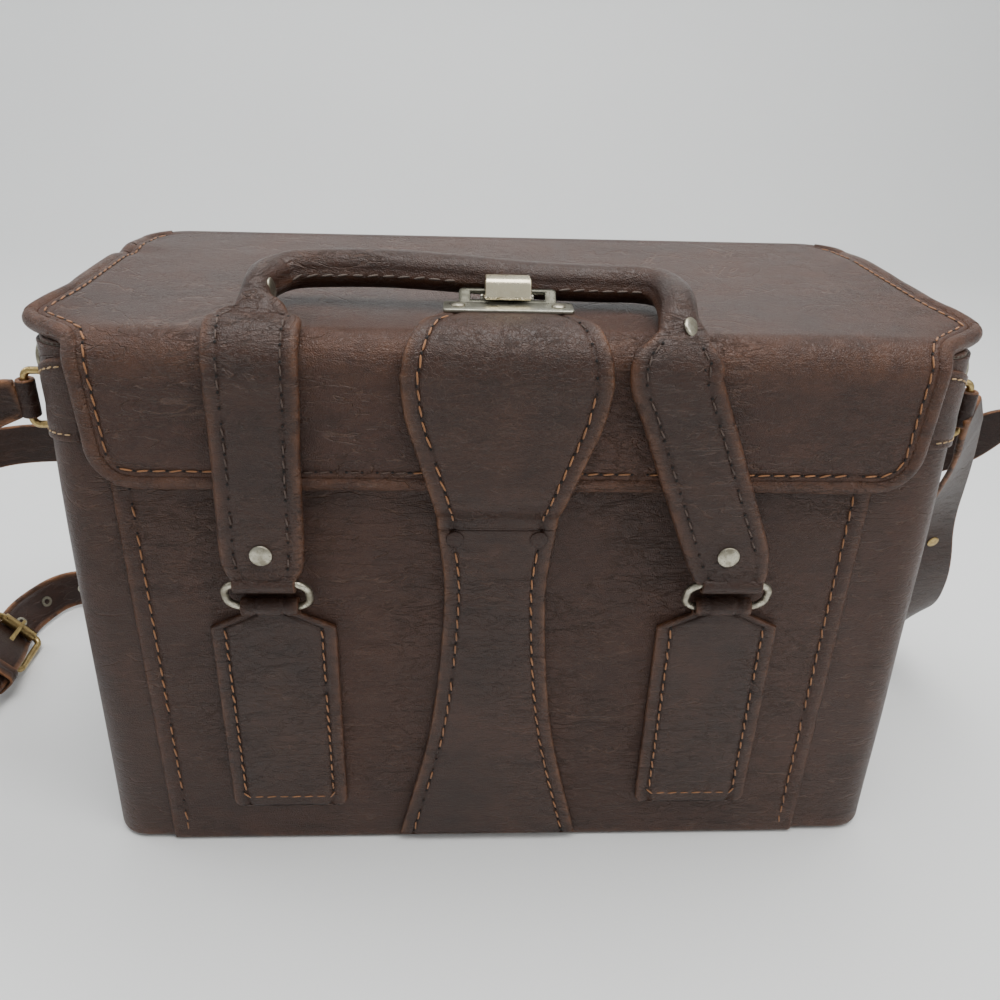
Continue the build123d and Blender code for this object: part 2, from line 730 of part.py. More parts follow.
def strap_front(side):
    """The strap's outline seen from the front, carried from front to back."""
    x_low = RING_X[side]
    x_top = STRAP_TOP_X[side]
    bar_z = high_bar()[1]
    clear_z = bar_z + RING_WIRE_R + LOOP_CLEAR
    low_z = bar_z - STRAP_LOW_DROP
    top_z = LID_TOP_Z + 2 * STRAP_T
    widths = [
        (low_z, STRAP_LOW_W - 2 * STRAP_CHAMFER),
        (bar_z, STRAP_LOW_W),
        (clear_z, STRAP_LOW_W),
        (clear_z + 2, STRAP_MID_W),
        (STRAP_FULL_Z[side], STRAP_TOP_W[side]),
        (top_z, STRAP_BEND_W[side]),
    ]

    def middle(z):
        share = (z - bar_z) / (NOSE_Z - bar_z)
        return x_low + (x_top - x_low) * min(max(share, 0), 1)

    y = -SHEET_MARGIN / 2
    left = [(middle(z) - w / 2, y, z) for z, w in widths]
    right = [(middle(z) + w / 2, y, z) for z, w in reversed(widths)]
    outline = make_face(Polyline(*left, *right, close=True))
    return extrude(outline, amount=SHEET_MARGIN, dir=(0, 1, 0))


def neck_trim(side):
    """What the strap loses on the lid, where it narrows to its neck."""
    x0 = STRAP_TOP_X[side]
    x1 = NECK_X[side]
    wide = STRAP_BEND_W[side] / 2 + 2
    neck = NECK_W / 2
    y0 = strap_y() - STRAP_T
    y_from = NECK_FROM_Y[side]
    y_to = SHOULDER_Y[side] + 1
    z0 = NOSE_Z
    points = [
        (x0 - wide, y0, z0),
        (x0 - wide, y_from, z0),
        (x1 - neck, y_to, z0),
        (x1 + neck, y_to, z0),
        (x0 + wide, y_from, z0),
        (x0 + wide, y0, z0),
    ]
    kept = extrude(make_face(Polyline(*points, close=True)), amount=CASE_D, dir=(0, 0, 1))
    room = block(x0 - CASE_W, x0 + CASE_W, y0, y_to, z0, z0 + CASE_D)
    return room - kept


def handle_sheet(side):
    """A handle strap and its neck, before they are parted at the lid's nose."""
    return (strap_bent_sheet(side) & strap_front(side)) - neck_trim(side)


def above_nose():
    """The space above the line where the straps begin to bend."""
    return block(-CASE_W / 2, CASE_W / 2, -CASE_D, CASE_D, NOSE_Z, RIM_Z + CASE_D)


def handle_strap(side):
    """A handle strap, looped round its ring's upper bar and ending at the bend."""
    y, z = high_bar()
    x = RING_X[side]
    half = STRAP_LOW_W / 2 - 1
    strap = handle_sheet(side) - above_nose()
    strap += cylinder_x(x - half, x + half, y, z, loop_r())
    return strap - cylinder_x(x - RING_W / 2, x + RING_W / 2, y, z, RING_WIRE_R + LOOP_CLEAR)


def handle_neck(side):
    """The soft neck that carries a strap over the lid's nose and into the grip."""
    return handle_sheet(side) & above_nose()


def grip_z():
    """The height of the grip's middle, where it lies on the lid."""
    return LID_TOP_Z + GRIP_LIFT + GRIP_R


def grip_path():
    """The line of the grip: from one strap's neck, along the lid, to the other neck."""
    z = grip_z()
    neck_z = NOSE_Z + strap_bend_r() + GRIP_R - STRAP_T / 2 - 0.5
    span = GRIP_X[1] - GRIP_X[0]
    points = [
        (NECK_X[0], SHOULDER_Y[0] - 1, neck_z),
        (GRIP_X[0], GRIP_Y, z + GRIP_BOW * 0.4),
        (GRIP_X[0] + 0.28 * span, GRIP_Y - 2, z + GRIP_BOW),
        (GRIP_X[0] + 0.62 * span, GRIP_Y, z),
        (GRIP_X[1], GRIP_Y, z + 1.0),
        (NECK_X[1], SHOULDER_Y[1] - 1, neck_z),
    ]
    return FilletPolyline(*points, radius=[GRIP_BEND_R, 60.0, 60.0, GRIP_BEND_R])


def behind_necks():
    """The space behind the straps' necks, where the grip runs."""
    half = CASE_W / 2
    top = RIM_Z + CASE_D
    left = block(-half, TONGUE_X, SHOULDER_Y[0], BACK_Y, LID_TOP_Z, top)
    return left + block(TONGUE_X, half, SHOULDER_Y[1], BACK_Y, LID_TOP_Z, top)


def grip_core():
    """The cord core inside the grip."""
    return tube(grip_path(), GRIP_CORE_R) & behind_necks()


def handle_grip():
    """The rolled leather grip around its cord core."""
    path = grip_path()
    ring = Plane(origin=path @ 0, z_dir=path % 0) * (Circle(GRIP_R) - Circle(GRIP_CORE_R))
    return sweep(ring, path=path) & behind_necks()


def strap_rivets(side):
    """The rivets of one handle strap: one above the ring and one at the neck."""
    y = strap_y() - STRAP_T / 2
    bar_z = high_bar()[1]
    share = (STRAP_RIVET_Z - bar_z) / (NOSE_Z - bar_z)
    x = RING_X[side] + (STRAP_TOP_X[side] - RING_X[side]) * share
    return rivet(x, y, STRAP_RIVET_Z, STRAP_RIVET_D, (0, -1, 0), 1.4)


def neck_rivet(side):
    """The rivet on the outer side of a strap's neck, on the bend over the lid's nose."""
    r = strap_bend_r() + STRAP_T / 2
    a = radians(62)
    x = STRAP_TOP_X[side] + (3.0 if side else 0.0)
    place = (x, strap_y() + strap_bend_r() - r * cos(a), NOSE_Z + r * sin(a))
    return rivet(place[0], place[1], place[2], NECK_RIVET_D, (0, -cos(a), sin(a)), 1.2)


def side_loop_place(side):
    """Where a side ring's inner bar runs, as (x, y)."""
    return side * (CASE_W / 2 + WING_T + loop_r() - LOOP_LEATHER_T), WING_Y + loop_r()


def side_wing(side):
    """The sewn leather wing that comes round a front corner and holds a side ring."""
    grown = rounded_case(
        CASE_W / 2 + WING_T, END_FACE_Y + WING_T, 100, LEATHER_TOP_Z, CORNER_R + WING_T, 0
    )
    core = rounded_case(CASE_W / 2, END_FACE_Y, 99, LEATHER_TOP_Z + 1, CORNER_R, 0)
    front = FRONT_Y - WING_T
    wedge = [
        (front - 5, WING_Z - WING_FRONT_H / 2),
        (front - 5, WING_Z + WING_FRONT_H / 2),
        (WING_Y, WING_Z + WING_END_H / 2),
        (WING_Y, WING_Z - WING_END_H / 2),
    ]
    x0, x1 = sorted((side * (CASE_W / 2 - CORNER_R), side * CASE_W))
    wing = (grown - core) & extrude_x(wedge, x0, x1)
    x, y = side_loop_place(side)
    z0 = WING_Z - SIDE_LOOP_H / 2
    loop = Pos(x, y, WING_Z) * Cylinder(loop_r(), SIDE_LOOP_H)
    face_x = side * (CASE_W / 2)
    bridge_x = sorted((face_x, face_x + side * (WING_T + 0.8)))
    bridge = block(bridge_x[0], bridge_x[1], WING_Y - 1, y, z0, z0 + SIDE_LOOP_H)
    inside = block(-CASE_W / 2, CASE_W / 2, -CASE_D, CASE_D, 0, RIM_Z)
    wing = wing + (loop - inside) + bridge
    return wing - Pos(x, y, WING_Z) * Cylinder(RING_WIRE_R + LOOP_CLEAR, SIDE_LOOP_H + 2)


def side_stud(side):
    """The domed stud under the lid's ear."""
    x = side * CASE_W / 2
    return rivet(x, STUD_Y, STUD_Z, STUD_D, (side, 0, 0), STUD_T)


def side_ring(side):
    """A brass ring that stands out from the side, held by the wing's loop."""
    x, y = side_loop_place(side)
    ring = wire_ring(SIDE_RING_W, SIDE_RING_H, RING_WIRE_R, SIDE_RING_CORNER_R)
    reach = SIDE_RING_W / 2 - RING_WIRE_R
    return Pos(x + side * reach, y, WING_Z) * ring


def sling_start(side):
    """Where a shoulder strap's fold goes round its side ring."""
    x, y = side_loop_place(side)
    return x + side * (SIDE_RING_W - 2 * RING_WIRE_R), y


def sling_fold(side):
    """The folded strap end round a side ring's outer bar."""
    x, y = sling_start(side)
    fold = Pos(x, y, WING_Z) * Cylinder(loop_r(), SLING_NECK_W)
    return fold - Pos(x, y, WING_Z) * Cylinder(RING_WIRE_R + LOOP_CLEAR, SLING_W)


def buckle_bar_place():
    """The middle of the buckle's roller bar, as (x, y)."""
    x, y = sling_start(-1)
    return x - BUCKLE_OUT_X, y + BUCKLE_BACK_Y


def off_buckle(y, out):
    """A point beside the buckle: y along the strap, out from its middle towards the viewer."""
    bar_x = buckle_bar_place()[0]
    return bar_x + OUTWARD[0] * out, y, BUCKLE_Z + OUTWARD[2] * out


def sling_left_stations():
    """The buckle half: from the left ring out and down, then back along the floor."""
    x, y = sling_start(-1)
    near = x - loop_r() + 0.6
    bar_y = buckle_bar_place()[1]
    z = SLING_MID_Z
    return [
        ((near, y, WING_Z), UPRIGHT, SLING_NECK_W),
        ((near - 20, y - 4, WING_Z - 4), (0, 0.15, 1), SLING_W),
        ((near - 42, y - 14, WING_Z - 19), (0.1, 0.5, 0.85), SLING_W),
        ((near - 62, y - 28, WING_Z - 54), (0.1, 0.85, 0.45), SLING_W),
        ((near - 78, y - 38, WING_Z - 104), (0.2, 1, 0.1), SLING_W),
        ((near - 89, y - 36, WING_Z - 152), (0.1, 1, 0.2), SLING_W),
        ((near - 95, y - 20, z + 18), (-0.3, 0.75, 0.6), SLING_W),
        ((near - 96, y + 4, z + 4), (-0.6, 0.3, 0.7), SLING_W),
        (off_buckle(bar_y - BUCKLE_L - 36, 0), LEANING, SLING_W),
        (off_buckle(bar_y - BUCKLE_L - 18, 0), LEANING, SLING_W),
        (off_buckle(bar_y - BUCKLE_L, 0), LEANING, SLING_W),
    ]


def sling_long_stations():
    """The long half: from the right ring, behind the case, through the buckle to its tip."""
    x, y = sling_start(1)
    near = x + loop_r() - 0.6
    z = SLING_MID_Z
    floor_y = BACK_Y + SLING_BACK_GAP
    lean_y = BACK_Y + HINGE_STRIP_T + SLING_T
    half = CASE_W / 2
    bar_x, bar_y = buckle_bar_place()
    fixed_y = bar_y - BUCKLE_L
    return [
        ((near, y, WING_Z), UPRIGHT, SLING_NECK_W),
        ((near + 10, y + 12, WING_Z - 22), (0.2, 0, 1), SLING_W),
        ((near + 21, y + 34, WING_Z - 55), (0.7, 0.2, 0.6), SLING_W),
        ((near + 31, y + 56, WING_Z - 90), (0.95, 0.1, 0.3), SLING_W),
        ((near + 42, y + 64, WING_Z - 125), (1, 0, 0.25), SLING_W),
        ((near + 51, y + 80, WING_Z - 160), (0.95, 0.1, 0.35), SLING_W),
        ((near + 54, y + 102, z + 16), (0.7, 0.3, 0.7), SLING_W),
        ((near + 42, y + 126, z + 3), (0.2, 0.2, 1), SLING_W),
        ((near + 14, floor_y + 8, z), UPRIGHT, SLING_W),
        ((half - 20, floor_y + 4, z), UPRIGHT, SLING_W),
        ((half / 3, floor_y, z), UPRIGHT, SLING_W),
        ((-half / 3, floor_y, z), UPRIGHT, SLING_W),
        ((-half + 10, floor_y + 4, z), UPRIGHT, SLING_W),
        ((-half - 40, floor_y + 13, z), UPRIGHT, SLING_W),
        ((-half - 78, floor_y + 20, z), (-0.15, 0, 1), SLING_W),
        ((bar_x + 10, bar_y + 44, z + 1), (-0.35, 0.1, 1), SLING_W),
        (off_buckle(bar_y + 20, -STRAP_OVER), LEANING, SLING_W),
        (off_buckle(bar_y + 1, -STRAP_OVER - 2.4), LEANING, SLING_W),
        (off_buckle(fixed_y, 2 * STRAP_OVER), LEANING, SLING_W),
        (off_buckle(fixed_y - 26, STRAP_OVER), LEANING, SLING_W),
        ((bar_x + 2, fixed_y - 48, z + 13), (-0.5, 0.1, 0.85), SLING_W),
        ((bar_x - 8, fixed_y - 66, z + 30), (-0.3, 0.2, 1), SLING_W),
        ((bar_x - 27, fixed_y - 68, z + 50), (0, 0.3, 1), SLING_W),
        ((bar_x - 40, fixed_y - 48, z + 73), (0.2, 0.3, 1), SLING_W),
        ((bar_x - 38, fixed_y - 12, TAIL_Z - 24), (0.2, 0.2, 1), SLING_W),
        ((bar_x - 20, fixed_y + 26, TAIL_Z - 9), (0.1, 0.1, 1), SLING_W),
        ((bar_x + 4, lean_y + 4, TAIL_Z - 1), UPRIGHT, SLING_W),
        ((-half - 40, lean_y + 5, TAIL_Z + 1), UPRIGHT, SLING_W),
        ((-half + 14, lean_y, TAIL_Z), UPRIGHT, SLING_W),
        ((half - 14, lean_y, TAIL_Z - 6), UPRIGHT, SLING_W),
        ((half + 22, lean_y - 2, TAIL_Z - 7), UPRIGHT, SLING_W),
        ((half + 54, lean_y - 18, TAIL_Z), (-0.3, 0, 1), SLING_W),
        ((half + 80, lean_y - 36, TAIL_Z + 20), (-0.4, 0.1, 1), SLING_W),
        ((half + 95, lean_y - 44, TAIL_Z + 38), (-0.4, 0.1, 1), SLING_W * 0.85),
        ((half + 102, lean_y - 47, TAIL_Z + 48), (-0.4, 0.1, 1), SLING_W * 0.2),
    ]


def buckle_place():
    """The buckle's own place: its X runs along the strap and its Z across the strap."""
    bar_x, bar_y = buckle_bar_place()
    centre = (bar_x, bar_y - BUCKLE_L / 2, BUCKLE_Z)
    return Plane(origin=centre, x_dir=(0, 1, 0), z_dir=LEANING)


def buckle_frame():
    """The rectangular wire frame of the buckle."""
    length = BUCKLE_L + 2 * BUCKLE_WIRE_R
    return buckle_place() * wire_ring(length, BUCKLE_W, BUCKLE_WIRE_R, BUCKLE_CORNER_R)


def buckle_roller():
    """The tube that turns on the buckle's end bar."""
    length = BUCKLE_W - 2 * BUCKLE_WIRE_R - 2 * BUCKLE_CORNER_R - 1
    roller = Cylinder(ROLLER_R, length) - Cylinder(BUCKLE_WIRE_R + ROLLER_CLEAR, length + 2)
    return buckle_place() * Pos(BUCKLE_L / 2, 0, 0) * roller


def buckle_prong():
    """The prong, curled round the buckle's fixed bar, with its tip on the roller."""
    bore = Cylinder(BUCKLE_WIRE_R + ROLLER_CLEAR, PRONG_CURL_W + 2)
    curl = Cylinder(BUCKLE_WIRE_R + ROLLER_CLEAR + PRONG_T, PRONG_CURL_W) - bore
    rise = ROLLER_R + ROLLER_CLEAR + PRONG_T / 2
    start = (0, -(BUCKLE_WIRE_R + ROLLER_CLEAR + PRONG_T / 2), 0)
    bend = (BUCKLE_L * 0.5, start[1] - 0.2, 0)
    tip = (BUCKLE_L + ROLLER_R * 0.7, -rise - 0.4, 0)
    stem = ribbon([(start, UPRIGHT, 2.6), (bend, UPRIGHT, 2.6), (tip, UPRIGHT, 1.8)], PRONG_T)
    return buckle_place() * Pos(-BUCKLE_L / 2, 0, 0) * (curl + stem)


def prong_room():
    """The space that the prong needs through the straps."""
    room = Box(BUCKLE_L + 12, 14, PRONG_CURL_W + 1.2)
    return buckle_place() * Pos(1, -1, 0) * room


def sling_left():
    """The buckle half of the shoulder strap, with its fold round the buckle's fixed bar."""
    strap = ribbon(eased(sling_left_stations()), SLING_T) + sling_fold(-1)
    place = buckle_place() * Pos(-BUCKLE_L / 2, 0, 0)
    strap += place * Cylinder(BUCKLE_WIRE_R + LOOP_CLEAR + SLING_T, SLING_W)
    strap -= place * Cylinder(BUCKLE_WIRE_R + LOOP_CLEAR, SLING_W + 2)
    x, y = sling_start(-1)
    strap -= Pos(x, y, WING_Z) * Cylinder(RING_WIRE_R + LOOP_CLEAR, SLING_W + 2)
    return strap - prong_room()


def sling_long(prong, fittings):
    """The long half of the shoulder strap, with its fold at the right ring."""
    strap = ribbon(eased(sling_long_stations()), SLING_T) + sling_fold(1)
    x, y = sling_start(1)
    strap -= Pos(x, y, WING_Z) * Cylinder(RING_WIRE_R + LOOP_CLEAR, SLING_W + 2)
    for fitting in fittings:
        strap -= fitting
    return strap - prong_room() - prong


def strap_face(stations, index, share, side_sign):
    """A plane on a strap's face, a share of the way along one of its runs."""
    a, across, _ = stations[index]
    start = Vector(*a)
    end = Vector(*stations[index + 1][0])
    along = (end - start).normalized()
    side = Vector(*across)
    side = (side - along * side.dot(along)).normalized()
    normal = along.cross(side) * side_sign
    return Plane(origin=start + (end - start) * share, x_dir=along, z_dir=normal)


def sling_rivets():
    """The rivets that close the strap's folds at both side rings."""
    heads = []
    places = ((sling_left_stations(), 0, 0.55), (sling_long_stations(), 3, 0.1))
    for stations, index, share in places:
        plane = strap_face(stations, index, share, 1)
        heads.append(plane * Pos(0, 0, SLING_T / 2 - RIVET_SEAT) * rivet_head(SLING_RIVET_D))
    return Compound(children=heads)


def eyelet_planes():
    """The eyelets' places, on the stretch of strap that shows beside the case."""
    stations = sling_long_stations()
    bar_y = buckle_bar_place()[1]
    planes = []
    for index, (start, end) in enumerate(zip(stations, stations[1:])):
        beside = start[0][0] < -CASE_W / 2 - EYELET_FROM
        low = start[0][2] < TAIL_Z / 2
        if beside and low and end[0][1] > bar_y:
            planes.append(strap_face(stations, index, 0.5, 1))
    return planes


def eyelet_blank():
    """An eyelet before it is bored: a barrel through the strap with a flange on each face."""
    flange_z = SLING_T / 2 + EYELET_FLANGE_T / 2 - RIVET_SEAT
    blank = Cylinder(EYELET_BARREL_D / 2, SLING_T + EYELET_FLANGE_T)
    blank += Pos(0, 0, flange_z) * Cylinder(EYELET_D / 2, EYELET_FLANGE_T)
    blank += Pos(0, 0, -flange_z) * Cylinder(EYELET_D / 2, EYELET_FLANGE_T)
    return blank


def eyelet_blanks():
    """All the eyelet blanks, to cut the strap with."""
    blank = eyelet_blank()
    return [plane * blank for plane in eyelet_planes()]


def sling_eyelets():
    """The eyelets of the long strap."""
    ring = eyelet_blank() - Cylinder(EYELET_HOLE_D / 2, 3 * SLING_T)
    return Compound(children=[plane * ring for plane in eyelet_planes()])


def sling_keeper():
    """The leather keeper round both halves of the strap, beside the buckle."""
    span = 2 * STRAP_OVER + SLING_T + 2 * LOOP_CLEAR
    outer = Box(KEEPER_W, span + 2 * KEEPER_T, SLING_W + 1 + 2 * KEEPER_T)
    inner = Box(KEEPER_W + 2, span, SLING_W + 1)
    place = buckle_place() * Pos(-BUCKLE_L / 2 - 16, -STRAP_OVER * 0.7, 0)
    return place * (outer - inner)


def build():
    """Every piece of the case, by name."""
    nodes = {}
    ends = end_panels()
    nodes["body_board"] = body_board()
    nodes["body_lining"] = body_lining()
    nodes["rim_binding"] = rim_binding()
    nodes["end_panel_left"], nodes["end_panel_right"] = ends
    nodes["wrap_panel"] = wrap_panel(ends)
    for name, x in zip(("left", "right"), DIVIDER_X):
        nodes[f"divider_{name}"] = divider(x)

    roll = tube(roll_path(), ROLL_R)
    nodes["lid_edge_roll"] = roll
    nodes["lid_cover"] = lid_cover(roll)
    nodes["lid_board"] = lid_board(roll)
    nodes["lid_lining"] = lid_lining(roll)
    nodes["hinge_strip"] = hinge_strip()

    nodes["tongue_base"] = tongue_low()
    nodes["tongue_discs"] = fold_discs()
    nodes["tongue"] = tongue_upper()
    nodes["hasp_plate"] = hasp_plate()
    nodes["hasp_rivets"] = hasp_rivets()
    nodes["catch_base"] = catch_base()
    nodes["catch_pin"] = catch_pin()
    nodes["catch_clip"] = catch_clip()

    nodes["grip_core"] = grip_core()
    nodes["handle_grip"] = handle_grip()
    for side, name in enumerate(("left", "right")):
        nodes[f"front_tab_{name}"] = front_tab(RING_X[side])
        nodes[f"handle_ring_{name}"] = handle_ring(RING_X[side])
        nodes[f"handle_strap_{name}"] = handle_strap(side)
        nodes[f"handle_neck_{name}"] = handle_neck(side)
        nodes[f"strap_rivet_{name}"] = strap_rivets(side)
        nodes[f"neck_rivet_{name}"] = neck_rivet(side)
    for side, name in ((-1, "left"), (1, "right")):
        nodes[f"side_wing_{name}"] = side_wing(side)
        nodes[f"side_stud_{name}"] = side_stud(side)
        nodes[f"side_ring_{name}"] = side_ring(side)

    prong = buckle_prong()
    nodes["buckle_prong"] = prong
    nodes["buckle_frame"] = buckle_frame()
    nodes["buckle_roller"] = buckle_roller()
    rivets = sling_rivets()
    nodes["sling_long"] = sling_long(prong, [rivets, *eyelet_blanks()])
    nodes["sling_rivets"] = rivets
    nodes["sling_left"] = sling_left() - rivets
    nodes["sling_eyelets"] = sling_eyelets()
    nodes["sling_keeper"] = sling_keeper()
    return nodes


def main():
    """Writes each piece as its own file."""
    os.makedirs("parts", exist_ok=True)
    for name, shape in build().items():
        export_step(shape, f"parts/{name}.step")


if __name__ == "__main__":
    main()
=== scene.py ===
"""Camera case of board and leather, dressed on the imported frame. Metres, +Z up, front towards -Y."""

from __future__ import annotations

import logging
from dataclasses import dataclass, field
from enum import Enum
from math import cos, pi, radians, sin

import bpy
import numpy as np
from mathutils import Matrix, Vector

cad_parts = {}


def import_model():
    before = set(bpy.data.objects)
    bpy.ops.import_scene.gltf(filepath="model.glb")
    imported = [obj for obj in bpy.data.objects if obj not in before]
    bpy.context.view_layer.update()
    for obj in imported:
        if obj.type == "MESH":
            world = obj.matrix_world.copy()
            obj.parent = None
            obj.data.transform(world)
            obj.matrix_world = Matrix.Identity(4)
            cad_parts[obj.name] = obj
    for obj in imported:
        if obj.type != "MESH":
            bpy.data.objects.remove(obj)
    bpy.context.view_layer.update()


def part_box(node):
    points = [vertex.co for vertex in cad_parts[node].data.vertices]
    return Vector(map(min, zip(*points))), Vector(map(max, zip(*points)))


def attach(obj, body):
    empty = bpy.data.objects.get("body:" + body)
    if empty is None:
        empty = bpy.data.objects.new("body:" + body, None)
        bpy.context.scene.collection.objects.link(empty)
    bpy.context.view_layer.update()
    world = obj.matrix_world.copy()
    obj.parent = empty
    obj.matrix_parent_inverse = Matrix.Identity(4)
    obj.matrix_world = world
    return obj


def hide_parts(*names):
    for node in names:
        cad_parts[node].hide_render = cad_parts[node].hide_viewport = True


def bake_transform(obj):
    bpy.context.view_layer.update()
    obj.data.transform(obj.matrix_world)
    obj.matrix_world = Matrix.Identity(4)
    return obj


logging.basicConfig(level=logging.INFO, format="%(message)s")
log = logging.getLogger("camera_case")

Array = np.ndarray
Socket = bpy.types.NodeSocket
Material = bpy.types.Material
Colour = tuple[float, float, float]

SEED = 11
HALF_PI = pi / 2
X_AXIS, Y_AXIS, Z_AXIS = np.eye(3)
STITCH_REACH = np.array([0.0, 0.3, 0.6, 0.8, 0.9, 1.0, 1.1, 1.2, 1.4, 1.8, 2.5])
STITCH_LINE = 5


class Named(Enum):
    """A choice among named options."""

    @property
    def label(self) -> str:
        """The option's word, as used in names."""
        return self.name.lower()


class Side(Named):
    """The two ends of the case, seen from the front."""

    LEFT = -1
    RIGHT = 1


class Thread(Named):
    """The threads that the case is sewn with, as (linear colour, radius, stitch share of the pitch)."""

    ORANGE = ((0.31, 0.132, 0.044), 0.00042, 0.76)
    PALE = ((0.50, 0.33, 0.16), 0.00038, 0.78)
    DARK = ((0.085, 0.050, 0.034), 0.00030, 0.60)
    GRIP = ((0.110, 0.080, 0.062), 0.00042, 0.74)


@dataclass
class Shell:
    """Vertices and faces of one piece in the making, with a wear value and a UV pair at each vertex."""

    verts: Array
    faces: list[Array]
    wear: Array | None = None
    uv: Array | None = None

    def turned(self, over: bool) -> Shell:
        """This shell, with its faces turned over where asked."""
        self.faces = [block[:, ::-1] for block in self.faces] if over else self.faces
        return self

    def outward(self) -> Shell:
        """This closed shell with its faces outwards, by the sign of the volume of every face's triangles."""
        verts = self.verts - self.verts.mean(axis=0)
        total = 0.0
        for block in self.faces:
            for k in range(1, block.shape[1] - 1):
                a, b, c = (verts[block[:, i]] for i in (0, k, k + 1))
                total += float(np.einsum("ij,ij->i", a, np.cross(b, c)).sum())
        return self.turned(total < 0)

    def facing(self, quad: int, towards: Array | tuple[float, ...]) -> Shell:
        """This open sheet, turned so that one of its quads looks in a direction."""
        a, b, _, d = self.verts[self.faces[0][quad]]
        return self.turned(np.cross(b - a, d - a) @ np.asarray(towards, float) < 0)

    def join(self, *others: Shell) -> Shell:
        """One shell with the faces of all of them.

        Args:
            others: the shells to add.

        Returns:
            A new shell.
        """
        parts = (self, *others)
        starts = np.cumsum([0] + [len(part.verts) for part in parts])
        faces = [block + start for part, start in zip(parts, starts) for block in part.faces]
        wear = np.concatenate([np.zeros(len(p.verts)) if p.wear is None else p.wear for p in parts])
        uv = np.concatenate([np.zeros((len(p.verts), 2)) if p.uv is None else p.uv for p in parts])
        return Shell(np.concatenate([p.verts for p in parts]), faces, wear, uv)


@dataclass(frozen=True)
class Bend:
    """Leather that joins two bodies, with a start and an end between them."""

    first: str
    second: str
    start: tuple[float, float, float]
    end: tuple[float, float, float]


def unit(vectors: Array) -> Array:
    """Each row divided by its length."""
    return vectors / np.maximum(np.linalg.norm(vectors, axis=-1, keepdims=True), 1e-12)


def stack(*columns: Array | float) -> Array:
    """Columns side by side, where a number stands for a whole column."""
    return np.stack(np.broadcast_arrays(*columns), axis=-1)


def smoothstep(value: Array | float, low: float, high: float) -> Array:
    """0 below low, 1 above high and an S curve between them."""
    t = np.clip((np.asarray(value, float) - low) / (high - low), 0, 1)
    return t * t * (3 - 2 * t)


def bump(value: Array, centre: float, reach: float) -> Array:
    """A bell of height 1: e to the power of minus the squared distance over reach."""
    return np.exp(-(((np.asarray(value) - centre) / reach) ** 2))


def corner_cut(distance: Array, radius: float) -> Array:
    """How far a quarter circle of a radius lies inside a square corner, at a distance from its side."""
    short = np.clip(radius - distance, 0, radius)
    return radius - np.sqrt(np.maximum(radius**2 - short**2, 0))


def ripple(points: Array, size: float, seed: int) -> Array:
    """Soft unevenness: the mean of six sine waves of about one size in directions drawn from the seed.

    Args:
        points: places, one row each.
        size: the length of a wave.
        seed: picks the directions and phases.

    Returns:
        A value between -1 and 1 for each place.
    """
    draw = np.random.default_rng(SEED + seed)
    waves = unit(draw.normal(size=(6, 3))) * (2 * pi / size) * draw.uniform(0.6, 1.4, (6, 1))
    return np.sin(points @ waves.T + draw.uniform(0, 2 * pi, 6)).mean(axis=1)


def grid_quads(rows: int, columns: int, close_rows: bool = False, close_columns: bool = False) -> Array:
    """The quads of a grid of vertices stored row by row.

    Args:
        rows: its rows.
        columns: its columns.
        close_rows: whether the last row joins the first.
        close_columns: whether the last column joins the first.

    Returns:
        Four vertex numbers for each quad.
    """
    i = np.arange(rows if close_rows else rows - 1)[:, None] * columns
    j = np.arange(columns if close_columns else columns - 1)[None, :]
    below, right = (i + columns) % (rows * columns), (j + 1) % columns
    return stack(i + j, i + right, below + right, below + j).reshape(-1, 4)


def fan_rows(first: int, columns: int, apex: int) -> Array:
    """Triangles from one closed row of vertices to a single vertex."""
    j = np.arange(columns)
    return stack(first + j, first + (j + 1) % columns, apex)


def closed_grid(rows: int, columns: int) -> list[Array]:
    """The faces of a grid closed round its columns, with both ends fanned to the two vertices after it."""
    tail = (rows - 1) * columns
    ends = [fan_rows(0, columns, rows * columns)[:, ::-1], fan_rows(tail, columns, rows * columns + 1)]
    return [grid_quads(rows, columns, close_columns=True), *ends]


def lengths(line: Array) -> Array:
    """How far along a line each of its points lies."""
    return np.concatenate([[0], np.cumsum(np.linalg.norm(np.diff(line[:, :3], axis=0), axis=1))])


def evenly(points: Array, count: int) -> Array:
    """Rows spaced evenly along the length of a broken line."""
    along = lengths(points)
    wanted = np.linspace(0, along[-1], count)
    return stack(*(np.interp(wanted, along, column) for column in points.T))


def spline(points: Array, count: int) -> Array:
    """A smooth curve through points: Catmull-Rom pieces, then spaced evenly along its length.

    Args:
        points: the points, one row each: a place, and other columns that are carried along.
        count: how many rows the curve gets.

    Returns:
        The curve's rows.
    """
    before = np.vstack([2 * points[0] - points[1], points[:-1]])
    after = np.vstack([points[1:], 2 * points[-1] - points[-2]])
    slope = (after - before) / 2
    t = np.linspace(0, 1, 24, endpoint=False)[None, :, None]
    a, b = points[:-1, None, :], points[1:, None, :]
    ma, mb = slope[:-1, None, :], slope[1:, None, :]
    h = (2 * t**3 - 3 * t**2 + 1) * a + (t**3 - 2 * t**2 + t) * ma + (3 * t**2 - 2 * t**3) * b + (t**3 - t**2) * mb
    return evenly(np.vstack([h.reshape(-1, points.shape[1]), points[-1]]), count)


